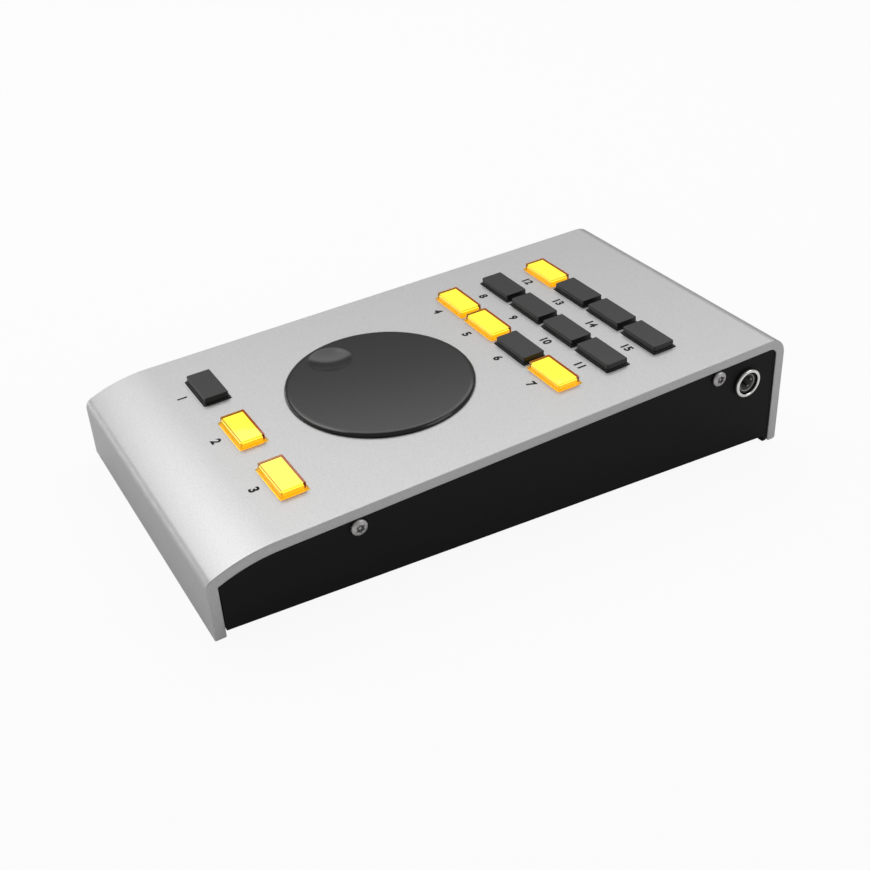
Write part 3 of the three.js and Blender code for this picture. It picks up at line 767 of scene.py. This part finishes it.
def tray_floor(y):
    """The height of the tray's level underside, in the panel's tilted frame."""
    return TRAY_RISE / cos(SLOPE) - FRONT_HEIGHT - y * tan(SLOPE)


tray = bmesh.new()
start = tray.verts.new((-TRAY_HALF, INSET, tray_floor(INSET)))
end = sweep_run(tray, [start], INSET, tray_floor(INSET), -BACK_HEIGHT)
lip_front = DEPTH - INSET - LIP
end = moved(tray, end, (0, LIP_ROUND - LIP, 0))
end = bent(tray, end, (lip_front + LIP_ROUND, LIP_ROUND - BACK_HEIGHT), pi / 2, LIP_STEPS)
end = moved(tray, end, (0, 0, tray_floor(lip_front) - LIP_ROUND + BACK_HEIGHT))
tray.edges.new((*corners_in(end), start))
side = bmesh.ops.contextual_create(tray, geom=tray.edges[:])["faces"]
print("side view:", len(tray.verts), "corners")

# %% Tray
FOLD_ROUND = 0.6
pulled = bmesh.ops.extrude_face_region(tray, geom=side)["geom"]
bmesh.ops.translate(tray, vec=(2 * TRAY_HALF, 0, 0), verts=corners_in(pulled))
face_out(tray)
open_faces = [
    face for face in tray.faces
    if face.normal.z > NEAR
    or (abs(face.normal.y) > 1 - NEAR and abs(face.calc_center_median().y - lip_front) > SHORT)
]
bmesh.ops.delete(tray, geom=open_faces, context="FACES")
bmesh.ops.solidify(tray, geom=tray.faces[:], thickness=SHEET)
face_out(tray)
folds = [
    e for e in sharp_edges(tray, SQUARE)
    if all(abs(v.co.x) > TRAY_HALF - NEAR and v.co.z < tray_floor(v.co.y) + NEAR for v in e.verts)
]
soften(tray, folds, FOLD_ROUND)
print("tray faces:", len(tray.faces), "folds:", len(folds))
tray_piece = add_piece("tray", tray, powder_coat, PANEL, ["chassis"])

# %% Holes for the side screws and the jack socket
SCREW_LINES = {"front": 45.8, "back": DEPTH - 28.5}
SCREW_DEPTH = 6.4
SCREW_RADIUS = 1.5
JACK_LINE, JACK_DEPTH = DEPTH - 16, 12.4
BUSH_RADIUS = 3.9
HOLE_STEPS = 32
ACROSS = Matrix.Rotation(pi / 2, 4, "Y")
through_both_sides, through_one = 3 * WIDTH, 4 * SHEET
holes = [(0, y, -SCREW_DEPTH, SCREW_RADIUS + FIT, through_both_sides) for y in SCREW_LINES.values()]
holes.append((TRAY_HALF, JACK_LINE, -JACK_DEPTH, BUSH_RADIUS + FIT, through_one))
for x, y, z, radius, length in holes:
    bit = rod(radius, length, HOLE_STEPS, ACROSS)
    bit.transform(on_panel(x, y, z))
    drill(tray_piece, bit)
print("tray:", len(tray_piece.data.polygons), "faces")

# %% [markdown]
# ## The jog wheel
#
# The wheel is a thick disc sunk in the pocket, with a thin rim that laps over the panel and rounds off in a
# full quarter circle. Its finger dimple sits off centre, so it can't be part of the same turned shape. The
# two are turned apart, each about its own axis, and the flat ring between their open edges is bridged.

# %% Wheel
HUB_RADIUS, HUB_FOOT = 7, 7.4
CLIP_TOP, CLIP_THICKNESS, CLIP_GROOVE = 5.6, 0.8, 0.8
RIM_WIDTH = 1.5
RIM_STEPS, WHEEL_STEPS = 12, 144
under = FIT - POCKET_DEPTH
groove_top, groove_foot = FIT - CLIP_TOP, -CLIP_TOP - CLIP_THICKNESS - FIT
groove_radius = HUB_RADIUS - CLIP_GROOVE
rim_turns = [step / RIM_STEPS * pi / 2 for step in range(RIM_STEPS + 1)]
rim = [(WHEEL_RADIUS - RIM_WIDTH * (1 - sin(a)), FIT + (WHEEL_TOP - FIT) * cos(a)) for a in rim_turns]
wheel = spun([
    *rim, (WHEEL_BODY, FIT), (WHEEL_BODY, under), (HUB_RADIUS, under),
    (HUB_RADIUS, groove_top), (groove_radius, groove_top), (groove_radius, groove_foot),
    (HUB_RADIUS, groove_foot), (HUB_RADIUS, -HUB_FOOT), (0, -HUB_FOOT),
], WHEEL_STEPS)
bmesh.ops.contextual_create(wheel, geom=[e for e in wheel.edges if e.is_boundary])
face_out(wheel)
print("wheel blank:", len(wheel.faces), "faces")

# %% [markdown]
# The dimple is part of a sphere, and its lip is eased over, so that the bowl runs into the flat without a
# line. The lip's circle touches both the sphere and the top face, which gives where the sphere ends.

# %% Bowl of the dimple
DIMPLE_RADIUS, DIMPLE_DEPTH, DIMPLE_LIP = 7.16, 1.3, 2.5
DIMPLE_TURN, DIMPLE_OUT = 201.3, 21.5
BOWL_STEPS, EASE_STEPS, DIMPLE_STEPS = 12, 5, 96
sphere = (DIMPLE_RADIUS ** 2 + DIMPLE_DEPTH ** 2) / (2 * DIMPLE_DEPTH)
drop = sphere - DIMPLE_DEPTH + DIMPLE_LIP
lip_spot = sqrt((sphere + DIMPLE_LIP) ** 2 - drop ** 2)
lip_turn = asin(lip_spot / (sphere + DIMPLE_LIP))
bowl_turns = [step / BOWL_STEPS * lip_turn for step in range(BOWL_STEPS)]
lip_turns = [step / EASE_STEPS * lip_turn for step in range(EASE_STEPS, -1, -1)]
bowl = spun([
    *((sphere * sin(a), WHEEL_TOP - DIMPLE_DEPTH + sphere * (1 - cos(a))) for a in bowl_turns),
    *((lip_spot - DIMPLE_LIP * sin(a), WHEEL_TOP - DIMPLE_LIP * (1 - cos(a))) for a in lip_turns),
], DIMPLE_STEPS)
bowl.transform(Matrix.Translation(DIMPLE_OUT * aimed(DIMPLE_TURN, 0)))
if max(bowl.faces, key=lambda face: face.calc_area()).normal.z < 0:
    bmesh.ops.reverse_faces(bowl, faces=bowl.faces)
bowl_mesh = mesh_of("bowl", bowl)
print("bowl: part of a sphere of", round(sphere, 1), "mm")

# %% Bridging the bowl into the wheel
top_face = max(wheel.faces, key=lambda face: face.calc_area() * (face.calc_center_median().z > 0))
bmesh.ops.delete(wheel, geom=[top_face], context="FACES")
wheel.from_mesh(bowl_mesh)
bpy.data.meshes.remove(bowl_mesh)
bmesh.ops.bridge_loops(wheel, edges=[e for e in wheel.edges if e.is_boundary])
face_out(wheel)
print("wheel faces:", len(wheel.faces), "open edges:", sum(e.is_boundary for e in wheel.edges))
wheel_piece = add_piece("wheel_disc", wheel, soft_touch, at_wheel, ["jog_wheel"], "wheel")

# %% [markdown]
# The hub takes the encoder's shaft in a bore with one flat side, which stops the wheel slipping on it. The
# same drill makes the bore: a cylinder with one side sliced off and closed again.

# %% Bore for the shaft
SHAFT_RADIUS, SHAFT_FLAT = 3, 1.5
BORE_ROOF, BORE_LENGTH, BORE_STEPS = 0.7, 10, 48
bore_middle = Matrix.Translation((0, 0, -BORE_ROOF - BORE_LENGTH / 2))
bore = rod(SHAFT_RADIUS + FIT, BORE_LENGTH, BORE_STEPS, bore_middle)
cut = bmesh.ops.bisect_plane(
    bore, geom=[*bore.verts, *bore.edges, *bore.faces],
    plane_co=(0, SHAFT_FLAT + FIT, 0), plane_no=(0, 1, 0), clear_outer=True,
)
cut_edges = [item for item in cut["geom_cut"] if isinstance(item, bmesh.types.BMEdge)]
bmesh.ops.contextual_create(bore, geom=cut_edges)
face_out(bore)
bore.transform(at_wheel)
drill(wheel_piece, bore)
print("wheel:", len(wheel_piece.data.polygons), "faces")

# %% [markdown]
# ## The keys
#
# Each key is a hollow block with a wider flange round its foot. A box becomes a key in three moves. Its top
# face is inset by the width of the flange, and the inner part is pulled up to the key's height. Then its
# underside is inset and pushed up, which hollows it for the light guide, and last its edges are rounded.


# %% Pulling the middle of a face
def end_face(shape, way):
    """The face that lies furthest along a direction."""
    return max(shape.faces, key=lambda face: face.calc_center_median().dot(way))


def pull_inner(shape, face, border, shift):
    """Insets a face, and moves its inner part by a shift."""
    bmesh.ops.inset_individual(shape, faces=[face], thickness=border, use_even_offset=True)
    pulled = bmesh.ops.extrude_face_region(shape, geom=[face, *face.edges, *face.verts])["geom"]
    bmesh.ops.translate(shape, vec=shift, verts=corners_in(pulled))


print("flange:", FLANGE, "mm wide all round")

# %% Key caps
FLANGE_HEIGHT, FLANGE_DEPTH = 0.4, 0.6
CAP_CORNER, CAP_EDGE, FLANGE_EDGE = 0.4, 0.25, 0.15
CAP_WALL, CAP_TOP = 0.6, 0.8
LIT_KEYS = (2, 3, 4, 5, 7, 12)
# A lit cap is thicker, as its clear wall shows as a border round the glow.
LIT_WALL, LIT_TOP = 0.7, 1.1


def on_flange(spot):
    """Whether a spot lies on top of the flange, outside the cap."""
    outside = abs(spot.x) > CAP_WIDTH / 2 + NEAR or abs(spot.y) > CAP_LENGTH / 2 + NEAR
    return outside and abs(spot.z - FLANGE_HEIGHT) < NEAR


def key_cap(wall, top):
    """A hollow cap with its flange, from the thickness of its walls and its top."""
    wide, long = CAP_WIDTH / 2 + FLANGE, CAP_LENGTH / 2 + FLANGE
    cap = box_shape((-wide, -long, -FLANGE_DEPTH), (wide, long, FLANGE_HEIGHT))
    pull_inner(cap, end_face(cap, UP), FLANGE, (CAP_HEIGHT - FLANGE_HEIGHT) * UP)
    pull_inner(cap, end_face(cap, -UP), FLANGE + wall, (FLANGE_DEPTH + CAP_HEIGHT - top) * UP)
    face_out(cap)
    posts = [e for e in sharp_edges(cap) if reach(e, Z) > FLANGE_HEIGHT]
    outer = [e for e in posts if min(abs(v.co.x) for v in e.verts) > CAP_WIDTH / 2 - wall / 2]
    soften(cap, outer, CAP_CORNER, WIDE_STEPS)
    crown = [e for e in sharp_edges(cap) if all(v.co.z > CAP_HEIGHT - NEAR for v in e.verts)]
    soften(cap, crown, CAP_EDGE)
    rim = [e for e in sharp_edges(cap) if all(on_flange(v.co) for v in e.verts)]
    soften(cap, rim, FLANGE_EDGE, HAIR_STEPS)
    return cap


for number, (x, y) in enumerate(key_spots, 1):
    name = f"key_{number:02}"
    lit = number in LIT_KEYS
    finish, slot = (amber, "cap_lit") if lit else (smoked, "cap_dark")
    cap = key_cap(LIT_WALL, LIT_TOP) if lit else key_cap(CAP_WALL, CAP_TOP)
    add_piece(f"{name}_cover", cap, finish, on_panel(x, y), [f"{name}_cap"], name)
print("key caps:", len(key_spots), "of them lit:", len(LIT_KEYS))

# %% [markdown]
# The light guide fills a lit cap and is fused to it. A film of air between the two would mirror the room and
# show as dark lines, so the guide runs a hair into the cap's plastic. It is made of plain blocks: the
# glowing upper part, a dim lower part, a dim skirt that lights the flange from below, and the unlit plunger
# that presses the switch.

# %% Light guides of the lit keys
BOND = 0.02  # how far a guide runs into the plastic round it
GLOW_FOOT, GUIDE_FOOT = -1.6, -3.3
SKIRT_INSET, SKIRT_THICKNESS = 0.1, 0.4
PLUNGER_WIDTH, PLUNGER_LENGTH, PLUNGER_FOOT = 5, 3, -8.4
PLUNGER_GAP, PLUNGER_ROUND = 0.1, 0.2
guide_wide, guide_long = (side / 2 - LIT_WALL + BOND for side in (CAP_WIDTH, CAP_LENGTH))
skirt_wide, skirt_long = (side / 2 + FLANGE - SKIRT_INSET for side in (CAP_WIDTH, CAP_LENGTH))
# Of each block: its finish, half its width and length, its foot and top, and the rounding of its edges.
GUIDE_BLOCKS = {
    "glow": (glowing_guide, guide_wide, guide_long, GLOW_FOOT, CAP_HEIGHT - LIT_TOP + BOND, BOND),
    "guide": (dim_guide, guide_wide, guide_long, GUIDE_FOOT, GLOW_FOOT, BOND),
    "skirt": (dim_guide, skirt_wide, skirt_long, -FLANGE_DEPTH - SKIRT_THICKNESS, BOND - FLANGE_DEPTH, BOND),
    "plunger": (
        milky_guide, PLUNGER_WIDTH / 2, PLUNGER_LENGTH / 2, PLUNGER_FOOT, GUIDE_FOOT - PLUNGER_GAP,
        PLUNGER_ROUND,
    ),
}
for number in LIT_KEYS:
    name = f"key_{number:02}"
    place = on_panel(*key_spots[number - 1])
    for block_name, (finish, wide, long, low, high, rounding) in GUIDE_BLOCKS.items():
        block = box_shape((-wide, -long, low), (wide, long, high))
        soften(block, sharp_edges(block), rounding, HAIR_STEPS)
        add_piece(f"{name}_{block_name}", block, finish, place, [f"{name}_light"], name)
print("light guides:", len(LIT_KEYS), "of", len(GUIDE_BLOCKS), "blocks each")

# %% [markdown]
# ## Screws and sockets
#
# The side screws are button heads with a six-lobed recess and a pin in its middle. The whole screw is one
# turned shape. Its recess starts round, and then its wall is pushed out and in, six times round.

# %% Side screws
SCREW_LENGTH, SCREW_TIP = 9, 0.3
HEAD_RADIUS, HEAD_HEIGHT, HEAD_EDGE = 2.6, 1.2, 0.35
HEAD_CURVE = 1.1  # the crown's ellipse is this much higher than the crown, which ends at the recess
CROWN_ANGLES = range(0, 50, 8)
RECESS_RADIUS, RECESS_FLOOR = 1.3, -0.4
RECESS_FLARE, RECESS_EASE, RECESS_TAPER = 0.22, 0.08, 0.06
PIN_RADIUS, PIN_SINK, PIN_EASE = 0.4, 0.4, 0.1
LOBES, LOBE_SHARE = 6, 0.13
SCREW_STEPS = 60


def side_screw():
    """A screw that stands on its head's seat, at a height of 0."""
    rise = HEAD_CURVE * (HEAD_HEIGHT - HEAD_EDGE)
    crown = [(HEAD_RADIUS * cos(a), HEAD_EDGE + rise * sin(a)) for a in map(radians, CROWN_ANGLES)]
    pin_top = HEAD_HEIGHT - PIN_SINK
    screw = spun([
        (0, -SCREW_LENGTH), (SCREW_RADIUS - SCREW_TIP, -SCREW_LENGTH),
        (SCREW_RADIUS, SCREW_TIP - SCREW_LENGTH), (SCREW_RADIUS, 0), (HEAD_RADIUS, 0), *crown,
        (RECESS_RADIUS + RECESS_FLARE, HEAD_HEIGHT), (RECESS_RADIUS, HEAD_HEIGHT - RECESS_EASE),
        (RECESS_RADIUS - RECESS_TAPER, RECESS_FLOOR), (PIN_RADIUS, RECESS_FLOOR),
        (PIN_RADIUS, pin_top - PIN_EASE), (PIN_RADIUS - PIN_EASE, pin_top), (0, pin_top),
    ], SCREW_STEPS)
    for v in screw.verts:
        in_recess = PIN_RADIUS + NEAR < v.co.xy.length < RECESS_RADIUS + NEAR
        if in_recess and v.co.z > RECESS_FLOOR - NEAR:
            share = 1 + LOBE_SHARE * cos(LOBES * v.co.xy.angle_signed(Vector((1, 0))))
            v.co.x, v.co.y = v.co.x * share, v.co.y * share
    return screw


OUTWARD = {"left": Matrix.Rotation(-pi / 2, 4, "Y"), "right": ACROSS}
for side_name, turn in OUTWARD.items():
    way = 1 if side_name == "right" else -1
    for end_name, line in SCREW_LINES.items():
        place = on_panel(way * (TRAY_HALF + FIT), line, -SCREW_DEPTH) @ turn
        name = f"screw_{end_name}_{side_name}"
        add_piece(f"button_{name}", side_screw(), plated_steel, place, [f"side_{name}"])
print("side screws:", len(OUTWARD) * len(SCREW_LINES))

# %% [markdown]
# The jack socket is a moulded box on the board, with a round bush that reaches through the tray's side and a
# ring nut outside. Down its bore run a spring sleeve and the metal blades that touch the plug.

# %% Ring nut
NUT_RADIUS, NUT_HEIGHT, NUT_EASE, NUT_ROUND, NUT_STEPS = 5.1, 1.2, 0.15, 0.3, 96
NUT_LIP, NUT_LIP_RADIUS, NUT_LIP_EASE = 0.4, 4, 0.1
nut_foot = TRAY_HALF + FIT
nut_top = nut_foot + NUT_HEIGHT
nut_bore = BUSH_RADIUS + FIT
out_of_jack = on_panel(0, JACK_LINE, -JACK_DEPTH) @ OUTWARD["right"]
nut = spun([
    (nut_bore, nut_foot), (NUT_RADIUS - NUT_EASE, nut_foot), (NUT_RADIUS, nut_foot + NUT_EASE),
    (NUT_RADIUS, nut_top - NUT_ROUND), (NUT_RADIUS - NUT_ROUND / 3, nut_top - NUT_ROUND / 3),
    (NUT_RADIUS - NUT_ROUND, nut_top), (NUT_LIP_RADIUS + NUT_LIP_EASE, nut_top),
    (NUT_LIP_RADIUS, nut_top - NUT_LIP_EASE), (NUT_LIP_RADIUS, nut_top - NUT_LIP),
    (nut_bore, nut_top - NUT_LIP), (nut_bore, nut_foot),
], NUT_STEPS)
add_piece("ring_nut", nut, nickel, out_of_jack, ["jack_nut"])
print("ring nut:", 2 * NUT_RADIUS, "mm across")

# %% Jack socket
JACK_BORE, JACK_LENGTH = 3.25, 25
BORE_EASE, BUSH_EASE, BUSH_ROOT = 0.3, 0.2, 2
BUSH_STEPS, JACK_BORE_STEPS = 72, 64
SHELL_LENGTH, SHELL_HALF, SHELL_UNDER, SHELL_ABOVE, SHELL_ROUND = 24, 6.3, 6.9, 6, 0.4
jack_face = TRAY_HALF - SHEET - FIT
mouth = nut_top - NUT_LIP - FIT
bush = spun([
    (JACK_BORE, mouth - JACK_LENGTH), (JACK_BORE, mouth - BORE_EASE), (JACK_BORE + BORE_EASE, mouth),
    (BUSH_RADIUS - BUSH_EASE, mouth), (BUSH_RADIUS, mouth - BUSH_EASE), (BUSH_RADIUS, jack_face - BUSH_ROOT),
    (JACK_BORE, mouth - JACK_LENGTH),
], BUSH_STEPS)
add_piece("jack_bush", bush, nylon, out_of_jack, ["jack_body"])
at_jack = on_panel(0, JACK_LINE, -JACK_DEPTH)
shell = box_shape(
    (jack_face - SHELL_LENGTH, -SHELL_HALF, -SHELL_UNDER), (jack_face, SHELL_HALF, SHELL_ABOVE),
)
soften(shell, sharp_edges(shell), SHELL_ROUND)
shell_piece = add_piece("jack_shell", shell, nylon, at_jack, ["jack_body"])
jack_middle = out_of_jack @ Matrix.Translation((0, 0, mouth - JACK_LENGTH / 2))
drill(shell_piece, rod(JACK_BORE, JACK_LENGTH, JACK_BORE_STEPS, jack_middle))
print("jack shell:", len(shell_piece.data.polygons), "faces")

# %% Sleeve and contact blades in the bore
SLEEVE_GAP, SLEEVE_WALL, SLEEVE_LENGTH, SLEEVE_EASE = 0.05, 0.3, 14, 0.15
BLADE_GAP, BLADE_THICKNESS, BLADE_WIDTH, BLADE_LENGTH, BLADE_ROUND = 0.4, 0.35, 0.6, 9, 0.2
# Of each blade: its turn round the bore in degrees, and how deep it starts.
BLADES = ((0, 1), (-56, 1), (180, 6))
outer = JACK_BORE - SLEEVE_GAP
inner = outer - SLEEVE_WALL
sleeve = spun([
    (inner, mouth - SLEEVE_LENGTH), (inner, mouth - 2 * SLEEVE_EASE),
    (inner + SLEEVE_EASE, mouth - SLEEVE_EASE), (outer, mouth - SLEEVE_EASE),
    (outer, mouth - SLEEVE_LENGTH), (inner, mouth - SLEEVE_LENGTH),
], BUSH_STEPS)
add_piece("jack_sleeve", sleeve, tinned_sheet, out_of_jack, ["jack_body"])
for number, (turn, depth) in enumerate(BLADES, 1):
    blade_top = JACK_BORE - BLADE_GAP
    blade = box_shape(
        (-BLADE_WIDTH / 2, blade_top - BLADE_THICKNESS, mouth - depth - BLADE_LENGTH),
        (BLADE_WIDTH / 2, blade_top, mouth - depth),
    )
    soften(blade, [e for e in sharp_edges(blade) if reach(e, X) > NEAR], BLADE_ROUND)
    place = out_of_jack @ Matrix.Rotation(radians(turn), 4, "Z")
    add_piece(f"jack_blade_{number}", blade, nickel, place, ["jack_body"])
print("blades:", len(BLADES))

# %% [markdown]
# The cable socket in the back wall is a square steel shell, open towards the back, with a plastic tongue in
# it and a row of contacts on the tongue. An inset and a push inwards make the shell, as they make the keys.

# %% Cable socket
SOCKET_SINK, SOCKET_LENGTH = 0.8, 16
SOCKET_WALL, SOCKET_BACK, SOCKET_ROUND = 1.5, 2, 0.25
half_wide, half_high = SOCKET_WIDTH / 2, SOCKET_HEIGHT / 2
at_socket = on_panel(SOCKET_X, DEPTH - SOCKET_SINK, SOCKET_FOOT + half_high)
socket = box_shape((-half_wide, -SOCKET_LENGTH, -half_high), (half_wide, 0, half_high))
pull_inner(socket, end_face(socket, Vector((0, 1, 0))), SOCKET_WALL, (0, SOCKET_BACK - SOCKET_LENGTH, 0))
face_out(socket)
soften(socket, [e for e in sharp_edges(socket) if all(v.co.y > -NEAR for v in e.verts)], SOCKET_ROUND)
add_piece("socket_shell", socket, plated_steel, at_socket, ["cable_socket"])
print("cable socket at", [round(c, 3) for c in at_socket.translation])

# %% Tongue and contacts
TONGUE_WIDTH, TONGUE_HEIGHT, TONGUE_SINK, TONGUE_ROOT, TONGUE_ROUND = 5.6, 3.2, 1.7, 1, 0.3
CONTACTS, CONTACT_PITCH, CONTACT_WIDTH, CONTACT_THICKNESS = 4, 1.3, 0.7, 0.2
CONTACT_SINK, CONTACT_FRONT, CONTACT_BACK, CONTACT_ROUND = 0.05, 2.2, 10, 0.06
tongue = box_shape(
    (-TONGUE_WIDTH / 2, TONGUE_ROOT - SOCKET_LENGTH, -TONGUE_HEIGHT / 2),
    (TONGUE_WIDTH / 2, -TONGUE_SINK, TONGUE_HEIGHT / 2),
)
soften(tongue, sharp_edges(tongue), TONGUE_ROUND)
add_piece("socket_tongue", tongue, nylon, at_socket, ["cable_socket"])
for number in range(CONTACTS):
    x = (number - (CONTACTS - 1) / 2) * CONTACT_PITCH
    foot = TONGUE_HEIGHT / 2 - CONTACT_SINK
    strip = box_shape(
        (x - CONTACT_WIDTH / 2, -CONTACT_BACK, foot),
        (x + CONTACT_WIDTH / 2, -CONTACT_FRONT, foot + CONTACT_THICKNESS),
    )
    soften(strip, sharp_edges(strip), CONTACT_ROUND, CHAMFER)
    add_piece(f"socket_contact_{number + 1}", strip, nickel, at_socket, ["cable_socket"])
print("contacts:", CONTACTS)

# %% [markdown]
# ## Feet
#
# The feet are moulded rubber discs. Their rounded sole keeps its edge from sticking to the desk.

# %% Feet
# Of each corner of the sole's rounding: how far in from the rim it lies, and how high.
SOLE = ((1.2, 0), (0.5, 0.12), (0.12, 0.5), (0, 1.1))
FOOT_EASE, FOOT_STEPS = 0.3, 64
foot_names = [name for name in frame["nodes"] if name.startswith("foot_")]
for name in foot_names:
    low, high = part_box(name)
    height, radius = (high.z - low.z) / MM, (high.x - low.x) / 2 / MM
    foot = spun([
        (0, 0), *((radius - inward, rise) for inward, rise in SOLE),
        (radius, height - FOOT_EASE), (radius - FOOT_EASE, height), (0, height),
    ], FOOT_STEPS)
    centre = Vector(((low.x + high.x) / 2, (low.y + high.y) / 2, low.z))
    place = Matrix.Translation(centre) @ Matrix.Scale(MM, 4)
    add_piece(f"rubber_{name}", foot, rubber, place, [name])
print("feet:", len(foot_names))

# %% [markdown]
# ## Printed numbers
#
# Each key has its number printed in front of it, as a mesh as thin as a coat of ink.

# %% Numbers
NUMBER_HEIGHT = 3
NUMBER_AHEAD = 9
STROKE_GAIN = 0.19
INK = 0.02
CAPITAL_SHARE = 0.7  # of the text's size, which is its line height
for number, (x, y) in enumerate(key_spots, 1):
    words = bpy.data.curves.new("number", "FONT")
    words.body = str(number)
    words.align_x, words.align_y = "CENTER", "CENTER"
    words.size = NUMBER_HEIGHT / CAPITAL_SHARE
    words.extrude = INK / 2
    words.offset = STROKE_GAIN
    words.resolution_u = 4
    text = new_object("number", words)
    flat = bpy.data.meshes.new_from_object(text.evaluated_get(bpy.context.evaluated_depsgraph_get()))
    bpy.data.objects.remove(text)
    printed = bmesh.new()
    printed.from_mesh(flat)
    bpy.data.meshes.remove(flat)
    bmesh.ops.remove_doubles(printed, verts=printed.verts, dist=MERGE)
    place = on_panel(x, y - NUMBER_AHEAD, INK / 2)
    add_piece(f"number_{number:02}", printed, ink, place)
print("numbers:", len(key_spots))

# %% [markdown]
# ## Inside
#
# The rails, the boards and the encoder are right as they are, so they only take their finishes. The finish
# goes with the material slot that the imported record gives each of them.

# %% Finishes for the solids that stay
FINISH_OF = {
    "anodised_aluminium": anodised, "powder_coat": powder_coat, "mill_aluminium": mill_aluminium,
    "steel": plated_steel, "chrome": nickel, "bronze": bronze, "rubber": rubber, "wheel_plastic": soft_touch,
    "cap_dark": smoked, "cap_lit": amber, "guide_dark": milky_guide, "guide_lit": glowing_guide,
    "circuit_board": solder_mask, "black_plastic": nylon,
}
for name, node in frame["nodes"].items():
    for slot in node.material_slots:
        slot.material = FINISH_OF[slot.material.name.split(".")[0]]
print("solids that stay:", sorted(name for name, node in frame["nodes"].items() if not node.hide_render))

# %% Sizes of the solids and of the scene
size = {"cad": [list(corner) for corner in cad_box], "visual": [list(corner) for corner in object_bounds()]}
print(size)

bpy.context.scene.view_settings.view_transform = "Standard"
